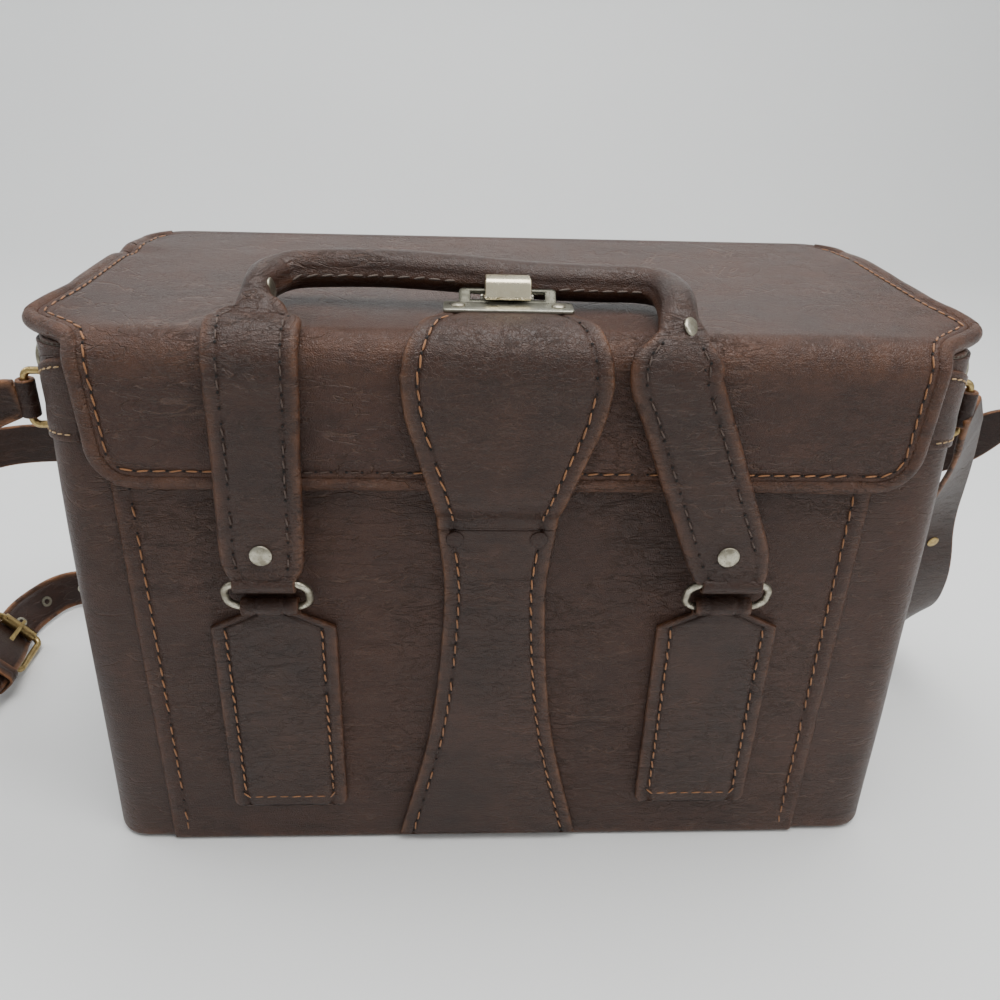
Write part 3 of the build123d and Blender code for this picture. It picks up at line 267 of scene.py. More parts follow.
def rounded(points: list[tuple[float, ...]], radii: list[float], closed: bool = False, steps: int = 8) -> Array:
    """A broken line with each corner turned on a conic curve that leaves the line one tangent length early.

    Args:
        points: the corners.
        radii: the radius at each corner, 0 for a sharp one. Ends of an open line are left as they are.
        closed: whether the last point runs back to the first.
        steps: points on each curve.

    Returns:
        The rounded line.
    """
    p = np.asarray(points, float)
    n = len(p)
    t = np.linspace(0, 1, steps)[:, None]
    rows = []
    for i in range(n):
        if radii[i] <= 0 or (not closed and i in (0, n - 1)):
            rows.append(p[i][None, :])
            continue
        before, after = p[i - 1] - p[i], p[(i + 1) % n] - p[i]
        to_before, to_after = unit(before), unit(after)
        half = np.arccos(np.clip(-(to_before @ to_after), -1, 1)) / 2
        reach = min(radii[i] * np.tan(half), 0.49 * np.linalg.norm(before), 0.49 * np.linalg.norm(after))
        pull = 2 * cos(half) * t * (1 - t)
        ends = (1 - t) ** 2 * (p[i] + to_before * reach) + t**2 * (p[i] + to_after * reach)
        rows.append((ends + pull * p[i]) / ((1 - t) ** 2 + pull + t**2))
    line = np.vstack(rows)
    return line[np.concatenate([[True], np.linalg.norm(np.diff(line, axis=0), axis=1) > 1e-7])]


def rectangle(x0: float, y0: float, x1: float, y1: float, radius: float, steps: int = 8) -> Array:
    """A rectangle's closed outline with rounded corners."""
    return rounded([(x0, y0), (x1, y0), (x1, y1), (x0, y1)], [radius] * 4, True, steps)


def circle(count: int) -> Array:
    """Points evenly round a circle of radius 1."""
    angle = np.linspace(0, 2 * pi, count, endpoint=False)
    return stack(np.cos(angle), np.sin(angle))


def outward_of(line: Array) -> Array:
    """The direction to the right of a flat line at each of its points."""
    way = unit(np.gradient(line, axis=0))
    return stack(way[:, 1], -way[:, 0])


def frames(path: Array, across: Array, closed: bool = False) -> tuple[Array, Array, Array]:
    """Directions along a path, across it, and out of its face, square to each other at each point.

    Args:
        path: the points.
        across: the wished direction across, one row for each point or one for all.
        closed: whether the path runs back to its start.

    Returns:
        The three directions, along, side and normal, where normal is side crossed with along.
    """
    steps = np.roll(path, -1, axis=0) - np.roll(path, 1, axis=0) if closed else np.gradient(path, axis=0)
    along = unit(steps)
    side = np.broadcast_to(across, path.shape)
    side = unit(side - along * np.einsum("ij,ij->i", side, along)[:, None])
    return along, side, np.cross(side, along)


def carry(path: Array, side: Array, normal: Array, profile: Array, closed: bool = False,
          wear: Array | None = None) -> Shell:
    """A closed profile carried along a path, capped at both ends by a slightly domed fan.

    Each vertex is the path's point plus the profile's first number along side and its second along normal.

    Args:
        path: the points of the path.
        side: the profile's first axis at each point.
        normal: the profile's second axis at each point.
        profile: (columns, 2), or (rows, columns, 2) where it changes along the path.
        closed: whether the path runs back to its start, which leaves the caps out.
        wear: a wear value for each vertex of the profile, or for each row and column.

    Returns:
        The shell, with UV as (length along, place round the profile).
    """
    rows, columns = len(path), profile.shape[-2]
    profile = np.broadcast_to(profile, (rows, columns, 2))
    grid = path[:, None, :] + side[:, None, :] * profile[..., :1] + normal[:, None, :] * profile[..., 1:]
    verts = grid.reshape(-1, 3)
    uv = stack(lengths(path)[:, None], np.linspace(0, 1, columns)[None, :]).reshape(-1, 2)
    values = np.broadcast_to(0.0 if wear is None else wear, (rows, columns)).reshape(-1)
    if closed:
        return Shell(verts, [grid_quads(rows, columns, True, True)], values, uv).outward()
    verts = np.vstack([verts, grid[0].mean(axis=0), grid[-1].mean(axis=0)])
    uv = np.vstack([uv, uv[:1], uv[-1:]])
    values = np.concatenate([values, values[:1], values[-1:]])
    return Shell(verts, closed_grid(rows, columns), values, uv).outward()


def tube(path: Array, radius: float | Array, closed: bool = False, columns: int = 20, flat: float = 1.0,
         across: Array = X_AXIS) -> Shell:
    """A round rod along a path, its ends drawn in to a dome.

    Args:
        path: the points.
        radius: one radius, or one for each point.
        closed: whether the path runs back to its start.
        columns: points round the rod.
        flat: the rod's height out of its plane as a share of its width.
        across: the direction that the profile starts from.

    Returns:
        The rod.
    """
    along, side, normal = frames(path, across, closed)
    radii = np.broadcast_to(radius, (len(path),)).astype(float)
    if not closed:
        inset = np.array([0.0, 0.10, 0.30, 0.62]) * float(radii[0])
        shrink = np.sqrt(np.clip(1 - (1 - inset / float(radii[0])) ** 2, 0.03, 1))
        path = np.vstack([path[0] + along[0] * inset[:, None], path[1:-1], path[-1] - along[-1] * inset[::-1, None]])
        radii = np.concatenate([radii[0] * shrink, radii[1:-1], radii[-1] * shrink[::-1]])
        side, normal = (np.vstack([np.repeat(v[:1], 4, 0), v[1:-1], np.repeat(v[-1:], 4, 0)]) for v in (side, normal))
    return carry(path, side, normal, radii[:, None, None] * circle(columns) * [1.0, flat], closed)


def rivet(diameter: float, height: float, lip: float, place: tuple[float, ...] | Array,
          axis: tuple[float, ...] | Array, columns: int = 28) -> Shell:
    """A rivet's head: a short upright rim and a quarter of an ellipse, turned about an axis, its poles fanned.

    Args:
        diameter: the head's diameter.
        height: its height.
        lip: the rim's share of the height.
        place: where its underside meets the axis.
        axis: the way that it stands out.
        columns: points round it.

    Returns:
        The head, sunk a little below its underside.
    """
    sunk, radius, rim = -0.0004, diameter / 2, height * lip
    angle = np.linspace(0, HALF_PI, 9)
    arc = stack(radius * np.cos(angle), rim + (height - rim) * np.sin(angle))
    outline = np.vstack([[radius * 0.98, sunk], [radius, 0.0], arc[:-1]])
    axis = unit(np.asarray(axis, float))
    u = unit(np.cross(axis, X_AXIS if abs(axis[0]) < 0.8 else Z_AXIS))
    ring = circle(columns) @ np.stack([u, np.cross(axis, u)])
    grid = np.asarray(place) + outline[:, None, :1] * ring[None] + outline[:, None, 1:] * axis
    poles = np.asarray(place) + np.array([[sunk], [arc[-1, 1]]]) * axis
    return Shell(np.vstack([grid.reshape(-1, 3), poles]), closed_grid(len(outline), columns)).outward()


def strap_profile(half: Array, thickness: Array | float, groove: float = 0.0, inset: float = 0.0055,
                  crown: float = 0.0003) -> tuple[Array, Array]:
    """A leather strap's cross-section, with soft edges, a crowned face and a pressed stitch line each side.

    The face's points lie at set distances from the edges, so that the stitch lines keep their inset where
    the width changes. Its height is half the thickness, plus a crown that falls off with the square of the
    distance from the middle, minus a bell at each stitch line. The edges are half circles.

    Args:
        half: half the width at each row of the path.
        thickness: the thickness at each row.
        groove: how deep the stitch lines are pressed.
        inset: how far the stitch lines lie from the edges.
        crown: how much the face rises towards its middle.

    Returns:
        The profile for each row, and its wear, which is high on the edges.
    """
    half = np.asarray(half, float)[:, None]
    thick = np.broadcast_to(np.asarray(thickness, float), half[:, 0].shape)[:, None]
    r = np.minimum(thick * 0.46, half * 0.8)
    reach = r + np.maximum(inset - r, 0.0004) * STITCH_REACH[None, :]
    near = half - np.minimum(reach, half - (half - r) * 0.04)
    face_x = np.concatenate([near, -near[:, ::-1]], axis=1)
    edge_gap = half - np.abs(face_x)
    share = np.clip(face_x / np.maximum(half, 1e-6), -1, 1)
    face_y = thick / 2 + crown * (1 - share**2) - groove * bump(edge_gap, inset, 0.0010)
    turn = np.linspace(0, pi, 9)[1:-1]
    right_x = half - r + r * np.sin(turn)
    right_y = thick / 2 * np.cos(turn) + 0 * half
    back_x = (half - r) * np.linspace(1, -1, 7)
    x = np.concatenate([face_x[:, ::-1], right_x, back_x, -right_x[:, ::-1]], axis=1)
    y = np.concatenate([face_y[:, ::-1], right_y, -thick / 2 + 0 * back_x, right_y[:, ::-1]], axis=1)
    edge = np.ones_like(right_x)
    fade = np.clip(1 - (edge_gap[:, ::-1] - r) / 0.0022, 0, 1) * 0.65
    return stack(x, y), np.concatenate([fade, edge, np.zeros_like(back_x), edge], axis=1)


def strap(path: Array, across: Array, width: Array | float, thickness: float | Array, groove: float = 0.0,
          inset: float = 0.0055, crown: float = 0.0003, eased: tuple[bool, bool] = (True, True)) -> Shell:
    """A strap with soft edges along a path.

    Args:
        path: the middle of its thickness.
        across: the direction across it, for each point or for all.
        width: its width at each point.
        thickness: its thickness.
        groove: how deep its stitch lines are pressed.
        inset: how far they lie from its edges.
        crown: how much its face rises in the middle.
        eased: whether it thins over the last millimetre of its start and of its end.

    Returns:
        The strap.
    """
    along, side, normal = frames(path, across)
    rows = np.hstack([path, side, normal, stack(np.asarray(width) / 2, thickness, np.zeros(len(path)))])
    shrink = np.array([0.55, 0.80, 0.95, 1.0])
    millimetre = 0.0011

    def end(row: Array, way: Array) -> Array:
        """The four rows that round off one end."""
        block = np.repeat(row[None], 4, axis=0)
        block[:, :3] += way * (np.array([0.0, 0.22, 0.55, 1.0]) * millimetre)[:, None]
        block[:, 9] -= millimetre * (1 - shrink)
        block[:, 10] *= shrink
        block[:, 11] = [0.9, 0.8, 0.6, 0.4]
        return block

    head = end(rows[0], along[0]) if eased[0] else rows[:1]
    tail = end(rows[-1], -along[-1])[::-1] if eased[1] else rows[-1:]
    rows = np.vstack([head, rows[1:-1], tail])
    profile, wear = strap_profile(rows[:, 9], rows[:, 10], groove, inset, crown)
    return carry(rows[:, :3], rows[:, 3:6], rows[:, 6:9], profile, wear=np.maximum(wear, rows[:, 11:]))


def band(path: Array, across: Array, width: float, thickness: float) -> Shell:
    """A flat strap that closes on itself."""
    _, side, normal = frames(path, across, closed=True)
    profile, wear = strap_profile(np.full(len(path), width / 2), thickness, crown=0.0)
    return carry(path, side, normal, profile, closed=True, wear=wear)


def slab(points: Array, z0: float, z1: float, edge: float = 0.0003) -> Shell:
    """A flat plate from a closed (x, y) outline: rows of it stacked in height, the outer ones drawn in.

    Args:
        points: the outline.
        z0: the height of its underside.
        z1: the height of its top.
        edge: how far the edges are softened.

    Returns:
        The plate.
    """
    after = np.roll(points, -1, axis=0)
    way = unit(after - np.roll(points, 1, axis=0))
    out = stack(way[:, 1], -way[:, 0])
    if np.sum(points[:, 0] * after[:, 1] - after[:, 0] * points[:, 1]) <= 0:
        out = -out
    steps = ((z0, 1.0), (z0 + edge * 0.3, 0.3), (z0 + edge, 0.0), (z1 - edge, 0.0), (z1 - edge * 0.3, 0.3), (z1, 1.0))
    grid = np.stack([stack(*(points - out * edge * pull).T, z) for z, pull in steps])
    verts = np.vstack([grid.reshape(-1, 3), grid[0].mean(axis=0), grid[-1].mean(axis=0)])
    return Shell(verts, closed_grid(*grid.shape[:2])).outward()


def to_object(name: str, shell: Shell, finish: Material) -> bpy.types.Object:
    """Puts a shell into a mesh object at the origin.

    Args:
        name: the piece's name.
        shell: its vertices and faces.
        finish: its material.

    Returns:
        The object.
    """
    mesh = bpy.data.meshes.new(name)
    sizes = np.concatenate([np.full(len(block), block.shape[1]) for block in shell.faces])
    corners = np.concatenate([block.reshape(-1) for block in shell.faces])
    mesh.vertices.add(len(shell.verts))
    mesh.vertices.foreach_set("co", shell.verts.astype(np.float32).reshape(-1))
    mesh.loops.add(len(corners))
    mesh.loops.foreach_set("vertex_index", corners.astype(np.int32))
    mesh.polygons.add(len(sizes))
    starts = np.concatenate([[0], np.cumsum(sizes)[:-1]])
    mesh.polygons.foreach_set("loop_start", starts.astype(np.int32))
    mesh.polygons.foreach_set("use_smooth", np.full(len(sizes), True))
    mesh.update(calc_edges=True)
    mesh.validate()
    if shell.wear is not None and len(mesh.vertices) == len(shell.wear):
        attribute = mesh.attributes.new("wear", "FLOAT", "POINT")
        attribute.data.foreach_set("value", shell.wear.astype(np.float32))
    if shell.uv is not None and len(mesh.loops) == len(corners):
        layer = mesh.uv_layers.new(name="UVMap")
        layer.data.foreach_set("uv", shell.uv[corners].astype(np.float32).reshape(-1))
    piece = bpy.data.objects.new(name, mesh)
    bpy.context.scene.collection.objects.link(piece)
    mesh.materials.append(finish)
    return piece


def put(name: str, shell: Shell, finish: Material, body: str | Bend, slot: str, *nodes: str,
        sheet: float = 0.0) -> None:
    """Makes a piece and says what it rides on, what it is of and what it stands for.

    Args:
        name: the piece's name.
        shell: its vertices and faces.
        finish: its material.
        body: the body that it rides on; with a bend between two, the piece is left where it stands, on neither.
        slot: not used.
        nodes: the CAD nodes that it stands for.
        sheet: the thickness that an open sheet gets inwards, 0 for a closed shell.
    """
    piece = to_object(name, shell, finish)
    if sheet:
        solid = piece.modifiers.new("thickness", "SOLIDIFY")
        solid.thickness, solid.offset = sheet, -1.0
    if isinstance(body, Bend):
        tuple(body.start)
        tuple(body.end)
        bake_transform(piece)
    else:
        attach(piece, body)
    if nodes:
        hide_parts(*nodes)
    log.info("%s: %d faces on %s", name, len(piece.data.polygons), body)


def dress(node: str, finish: Material) -> None:
    """Gives a CAD node whose shape is kept a better material on each of its slots."""
    materials = bpy.data.objects[node].data.materials
    for index in range(len(materials)):
        materials[index] = finish
    log.info("%s keeps its shape", node)


@dataclass
class Paint:
    """Places and joins shader nodes in one tree, a material's or a shared group's."""

    tree: bpy.types.NodeTree

    @property
    def place(self) -> Socket:
        """The piece's own coordinates."""
        return self.node("TexCoord").outputs["Object"]

    def feed(self, socket: Socket, value: object) -> None:
        """Sets an input socket to a value, or joins another socket to it."""
        if isinstance(value, Socket):
            self.tree.links.new(value, socket)
        else:
            socket.default_value = value

    def node(self, kind: str, **values: object) -> bpy.types.Node:
        """A node with its properties, in small letters, or its input sockets, in capitals, set by name.

        Args:
            kind: the kind of shader node.
            values: the properties, and a value or a socket for each input.

        Returns:
            The node.
        """
        made = self.tree.nodes.new(f"ShaderNode{kind}")
        for key, value in values.items():
            if hasattr(made, key):
                setattr(made, key, value)
            else:
                self.feed(made.inputs[key.replace("_", " ")], value)
        return made

    def math(self, operation: str, *values: object, clamp: bool = False) -> Socket:
        """A Math node fed by sockets or numbers; gives its output socket."""
        made = self.node("Math", operation=operation, use_clamp=clamp)
        for socket, value in zip(made.inputs, values):
            self.feed(socket, value)
        return made.outputs[0]

    def mix(self, factor: object, a: object, b: object, blend_type: str = "MIX") -> Socket:
        """A colour Mix node fed by sockets, numbers or colours; gives its output socket."""
        made = self.node("Mix", data_type="RGBA", blend_type=blend_type)
        for index, value in ((0, factor), (6, a), (7, b)):
            self.feed(made.inputs[index], value)
        return made.outputs[2]

    def stretch(self, source: Socket, height: float) -> Socket:
        """Coordinates scaled in height by a Mapping node."""
        return self.node("Mapping", Vector=source, Scale=(1.0, 1.0, height)).outputs["Vector"]

    def noise(self, vector: Socket, scale: float, detail: float = 4.0, roughness: float = 0.55,
              distortion: float = 0.0, output: str = "Fac") -> Socket:
        """A Noise Texture's output socket."""
        values = {"Scale": scale, "Detail": detail, "Roughness": roughness, "Distortion": distortion}
        return self.node("TexNoise", Vector=vector, **values).outputs[output]

    def ramp(self, value: Socket, low: float, high: float) -> Socket:
        """0 below low, 1 above high, smooth between."""
        limits = {"From_Min": low, "From_Max": high}
        return self.node("MapRange", interpolation_type="SMOOTHSTEP", Value=value, **limits).outputs["Result"]


def coat_of(name: str) -> tuple[Material, Paint, bpy.types.NodeInputs]:
    """A new material, its tree to paint in, and its shader's input sockets."""
    made = bpy.data.materials.new(name)
    made.use_nodes = True
    return made, Paint(made.node_tree), made.node_tree.nodes["Principled BSDF"].inputs


def new_group(name: str, inputs: dict[str, float | tuple], outputs: tuple[str, ...]) -> tuple[Paint, object, object]:
    """An empty shader group, whose output called Colour is a colour and whose other outputs are numbers.

    Args:
        name: its name.
        inputs: each input's name with its default, a number or a colour.
        outputs: each output's name.

    Returns:
        The group's tree to paint in, its input sockets by name and its output sockets by name.
    """
    tree = bpy.data.node_groups.new(name, "ShaderNodeTree")
    kinds = {True: "NodeSocketColor", False: "NodeSocketFloat"}
    for key, value in inputs.items():
        kind = kinds[isinstance(value, tuple)]
        tree.interface.new_socket(key, in_out="INPUT", socket_type=kind).default_value = value
    for key in outputs:
        tree.interface.new_socket(key, in_out="OUTPUT", socket_type=kinds[key == "Colour"])
    given, out = tree.nodes.new("NodeGroupInput"), tree.nodes.new("NodeGroupOutput")
    return Paint(tree), given.outputs, out.inputs


class Effects:
    """The shader groups that more than one finish uses."""

    def __init__(self) -> None:
        """Builds each group once."""
        self.grain = self.leather_grain()
        self.hide = self.hide_colour()
        self.tarnish = self.metal_tarnish()

    def leather_grain(self) -> bpy.types.NodeTree:
        """Leather's relief: pebbled cells, fine pores, ribs, long creases, cracks high up and soft hollows.

        Returns:
            The group, which gives a height and a mask of its creases.
        """
        inputs = {"Pebble": 1.0, "Creases": 1.0, "Crackle": 0.0}
        p, given, out = new_group("leather relief", inputs, ("Height", "Crease"))
        place = p.place
        warp = p.noise(place, 260.0, 3.0, 0.5, output="Color")
        wavy = p.node("VectorMath", operation="MULTIPLY_ADD")
        for socket, value in zip(wavy.inputs, (warp, (0.0016, 0.0016, 0.0016), place)):
            p.feed(socket, value)
        wavy = wavy.outputs[0]
        cells = p.node("TexVoronoi", feature="DISTANCE_TO_EDGE", Vector=wavy, Scale=1150.0).outputs["Distance"]
        pebble = p.ramp(cells, 0.0, 0.30)
        fine = p.noise(place, 1700.0, 3.0, 0.6)
        ribs = p.noise(p.stretch(wavy, 5.0), 90.0, 4.0, 0.6, 0.9)
        broad = p.noise(place, 34.0, 3.0, 0.5)

        def lines(source: Socket, width: float, mask_scale: float, low: float, high: float) -> Socket:
            """Thin lines where a noise crosses its middle, kept in soft patches."""
            ridge = p.math("ABSOLUTE", p.math("SUBTRACT", source, 0.5))
            patch = p.ramp(p.noise(place, mask_scale, 2.0, 0.5), low, high)
            return p.math("MULTIPLY", p.math("SUBTRACT", 1.0, p.ramp(ridge, 0.0, width)), patch)

        fold = lines(p.noise(p.stretch(wavy, 4.6), 34.0, 2.5, 0.55, 0.8), 0.020, 11.0, 0.42, 0.56)
        crease = lines(p.noise(p.stretch(wavy, 3.2), 46.0, 5.0, 0.62, 1.6), 0.024, 15.0, 0.40, 0.60)
        crease = p.math("MAXIMUM", crease, fold)
        cracks = p.node("TexVoronoi", feature="DISTANCE_TO_EDGE", Vector=wavy, Scale=400.0).outputs["Distance"]
        high = p.node("SeparateXYZ", Vector=place).outputs["Z"]
        crackle = p.math("MULTIPLY", p.math("SUBTRACT", 1.0, p.ramp(cracks, 0.0, 0.07)), p.ramp(high, 0.190, 0.236))
        crackle = p.math("MULTIPLY", crackle, given["Crackle"])
        creased = p.math("MULTIPLY", crease, given["Creases"])
        ribbed = p.math("MULTIPLY", ribs, given["Creases"])
        height = p.math("MULTIPLY", p.math("MULTIPLY", pebble, 0.34), given["Pebble"])
        for part, weight in ((fine, 0.16), (ribbed, 0.95), (broad, 0.9), (creased, -0.9), (crackle, -0.35)):
            height = p.math("MULTIPLY_ADD", part, weight, height)
        p.feed(out["Height"], height)
        p.feed(out["Crease"], p.math("MAXIMUM", creased, crackle))
        return p.tree

    def hide_colour(self) -> bpy.types.NodeTree:
        """Leather's colour: clouds of warm and dark brown, streaks, paler worn edges and a painted highlight along the
        creases.

        Returns:
            The group, which gives the colour and a mask of how polished the leather is.
        """
        colours = {"Dark": (0.02, 0.01, 0.008, 1.0), "Warm": (0.08, 0.03, 0.015, 1.0), "Worn": (0.2, 0.08, 0.035, 1.0)}
        p, given, out = new_group("hide colour", {**colours, "Crease": 0.0, "Wear": 0.7}, ("Colour", "Polish"))
        place = p.place
        clouds = p.noise(place, 21.0, 6.0, 0.62, 0.4)
        streaks = p.noise(p.stretch(place, 2.6), 58.0, 6.0, 0.7, 0.8)
        blend = p.math("MULTIPLY_ADD", streaks, 0.45, p.math("MULTIPLY", clouds, 0.55))
        colour = p.mix(p.ramp(blend, 0.30, 0.74), given["Dark"], given["Warm"])
        speck = p.math("MULTIPLY", p.ramp(p.noise(place, 700.0, 2.0, 0.6), 0.35, 0.7), 0.35)
        colour = p.mix(speck, colour, (0.35, 0.35, 0.35, 1.0), "MULTIPLY")
        worn = p.node("Attribute", attribute_name="wear").outputs["Fac"]
        mask = p.math("MULTIPLY", worn, p.ramp(p.noise(place, 120.0, 5.0, 0.7), 0.30, 0.62))
        mask = p.math("MULTIPLY", mask, given["Wear"], clamp=True)
        colour = p.mix(mask, colour, given["Worn"])
        # Painted highlight: a pale colour mixed in along the creases stands for the light on their folds; the cracks
        # take the same pale tone.
        crease = p.math("MULTIPLY", given["Crease"], 0.24)
        p.feed(out["Colour"], p.mix(crease, colour, (0.150, 0.088, 0.060, 1.0)))
        p.feed(out["Polish"], p.math("MULTIPLY_ADD", clouds, 0.6, p.math("MULTIPLY", streaks, 0.4)))
        return p.tree

    def metal_tarnish(self) -> bpy.types.NodeTree:
        """Old plated metal: dull clouds, dark specks and fine scratches.

        Returns:
            The group, which gives a colour, a roughness and a height.
        """
        inputs = {"Bright": (0.6, 0.6, 0.55, 1.0), "Dull": (0.2, 0.19, 0.16, 1.0), "Amount": 0.5}
        p, given, out = new_group("old plating", inputs, ("Colour", "Roughness", "Height"))
        place = p.place
        clouds = p.ramp(p.noise(place, 240.0, 5.0, 0.65), 0.35, 0.68)
        specks = p.ramp(p.noise(place, 1500.0, 2.0, 0.5), 0.56, 0.68)
        scratches = p.noise(p.stretch(place, 9.0), 900.0, 3.0, 0.7)
        mask = p.math("MULTIPLY", p.math("MAXIMUM", clouds, specks), given["Amount"], clamp=True)
        p.feed(out["Colour"], p.mix(mask, given["Bright"], given["Dull"]))
        rough = p.math("MULTIPLY_ADD", mask, 0.32, 0.20)
        p.feed(out["Roughness"], p.math("MULTIPLY_ADD", scratches, 0.12, rough))
        p.feed(out["Height"], p.math("MULTIPLY_ADD", scratches, 0.5, p.math("MULTIPLY", specks, -0.6)))
        return p.tree


@dataclass(frozen=True)
class Leather:
    """A leather finish: three browns, the depth of its relief and how shiny it is."""

    name: str
    dark: Colour
    warm: Colour
    worn: Colour
    pebble: float = 1.0
    creases: float = 1.0
    crackle: float = 0.0
    wear: float = 0.7
    rough: tuple[float, float] = (0.28, 0.48)
    coat: float = 0.0

    def build(self, effects: Effects) -> Material:
        """The material, from the shared relief and hide colour groups.

        Args:
            effects: the shared groups.

        Returns:
            The material.
        """
        material, p, shader = coat_of(self.name)
        amounts = {"Pebble": self.pebble, "Creases": self.creases, "Crackle": self.crackle}
        relief = p.node("Group", node_tree=effects.grain, **amounts).outputs
        browns = {"Dark": (*self.dark, 1.0), "Warm": (*self.warm, 1.0), "Worn": (*self.worn, 1.0), "Wear": self.wear}
        hide = p.node("Group", node_tree=effects.hide, Crease=relief["Crease"], **browns).outputs
        raised = p.node("Bump", Strength=1.0, Distance=0.00050, Height=relief["Height"])
        rough = p.node("MapRange", To_Min=self.rough[0], To_Max=self.rough[1], Value=hide["Polish"])
        p.feed(shader["Normal"], raised.outputs["Normal"])
        p.feed(shader["Base Color"], hide["Colour"])
        p.feed(shader["Roughness"], rough.outputs["Result"])
        for key, value in (("Specular IOR Level", 0.34), ("Coat Weight", self.coat), ("Coat Roughness", 0.42)):
            shader[key].default_value = value
        return material


@dataclass(frozen=True)
class Plating:
    """Plated metal that has dulled with age."""

    name: str
    bright: Colour
    dull: Colour
    amount: float = 0.6

    def build(self, effects: Effects) -> Material:
        """The material, from the shared plating group.

        Args:
            effects: the shared groups.

        Returns:
            The material.
        """
        material, p, shader = coat_of(self.name)
        values = {"Bright": (*self.bright, 1.0), "Dull": (*self.dull, 1.0), "Amount": self.amount}
        old = p.node("Group", node_tree=effects.tarnish, **values).outputs
        raised = p.node("Bump", Strength=0.6, Distance=0.00006, Height=old["Height"])
        p.feed(shader["Normal"], raised.outputs["Normal"])
        p.feed(shader["Base Color"], old["Colour"])
        p.feed(shader["Roughness"], old["Roughness"])
        shader["Metallic"].default_value = 1.0
        return material


@dataclass(frozen=True)
class Cloth:
    """Felt, lining cloth, thread or bare board: a fuzzy or woven surface of one tone with clouds in it."""

    name: str
    tone: Colour
    shade: Colour
    scale: float = 900.0
    depth: float = 0.0002
    roughness: float = 0.9
    sheen: float = 0.25

    def build(self) -> Material:
        """The material: fibres from a fine noise, with a slow change of tone.

        Returns:
            The material.
        """
        material, p, shader = coat_of(self.name)
        place = p.place
        fibres = p.noise(place, self.scale, 5.0, 0.7, 0.6)
        clouds = p.noise(place, 60.0, 4.0, 0.6)
        mask = p.math("MULTIPLY_ADD", clouds, 0.6, p.math("MULTIPLY", fibres, 0.6), clamp=True)
        p.feed(shader["Base Color"], p.mix(p.ramp(mask, 0.35, 0.8), (*self.shade, 1.0), (*self.tone, 1.0)))
        raised = p.node("Bump", Strength=0.8, Distance=self.depth, Height=fibres)
        p.feed(shader["Normal"], raised.outputs["Normal"])
        shader["Roughness"].default_value = self.roughness
        shader["Sheen Weight"].default_value = self.sheen
        return material


class Finishes:
    """Every material of the case, by what it is used for."""

    def __init__(self) -> None:
        """Builds the shared groups and the materials."""
        effects = Effects()
        leathers = {
            "body": Leather("brown hide", (0.031, 0.0132, 0.0082), (0.066, 0.0285, 0.0172), (0.150, 0.062, 0.029),
                            wear=0.6),
            "lid": Leather("lid hide", (0.030, 0.0122, 0.0076), (0.070, 0.0295, 0.0175), (0.165, 0.070, 0.033),
                           creases=1.3, wear=0.62),
            "strap": Leather("strap hide", (0.021, 0.0088, 0.0056), (0.050, 0.0208, 0.0118), (0.110, 0.046, 0.022),
                             pebble=0.6, creases=0.8, rough=(0.25, 0.44), coat=0.05),
            "tongue": Leather("crackled hide", (0.021, 0.0086, 0.0052), (0.056, 0.0225, 0.0125), (0.150, 0.068, 0.034),
                              pebble=0.6, creases=0.6, crackle=0.75, rough=(0.23, 0.42), coat=0.06),
            "sling": Leather("sling hide", (0.018, 0.0076, 0.0050), (0.040, 0.0158, 0.0088), (0.215, 0.092, 0.038),
                             pebble=0.45, creases=0.6, wear=0.95, rough=(0.34, 0.54)),
        }
        metals = {
            "nickel": Plating("old nickel", (0.48, 0.455, 0.365), (0.15, 0.13, 0.09), 0.75),
            "plate": Plating("grey plate", (0.48, 0.475, 0.40), (0.21, 0.20, 0.155), 0.60),
            "frame": Plating("dark plate", (0.105, 0.103, 0.082), (0.042, 0.040, 0.030), 0.60),
            "clip": Plating("pale brass", (0.84, 0.76, 0.56), (0.42, 0.35, 0.21), 0.32),
            "brass": Plating("old brass", (0.50, 0.37, 0.16), (0.13, 0.085, 0.04), 0.60),
        }
        cloths = {
            "board": Cloth("grey board", (0.20, 0.18, 0.15), (0.12, 0.105, 0.09), 500.0, 0.0001, 0.9, 0.0),
            "lining": Cloth("lining cloth", (0.100, 0.050, 0.030), (0.060, 0.028, 0.017), 1400.0, 0.00015),
            "felt": Cloth("divider felt", (0.120, 0.060, 0.035), (0.070, 0.034, 0.020), 700.0, 0.0004, 0.95, 0.4),
            # Stitch holes: near black, painted shade for the inside of each hole.
            "hole": Cloth("stitch hole", (0.006, 0.004, 0.003), (0.003, 0.002, 0.002), 900.0, 0.0001, 0.9, 0.0),
        }
        for use, finish in {**leathers, **metals}.items():
            setattr(self, use, finish.build(effects))
        for use, finish in cloths.items():
            setattr(self, use, finish.build())
        self.threads = {}
        for thread in Thread:
            tone = thread.value[0]
            cloth = Cloth(f"{thread.label} thread", tone, tuple(0.45 * c for c in tone), 2200.0, 0.00012, 0.7, 0.2)
            self.threads[thread] = cloth.build()


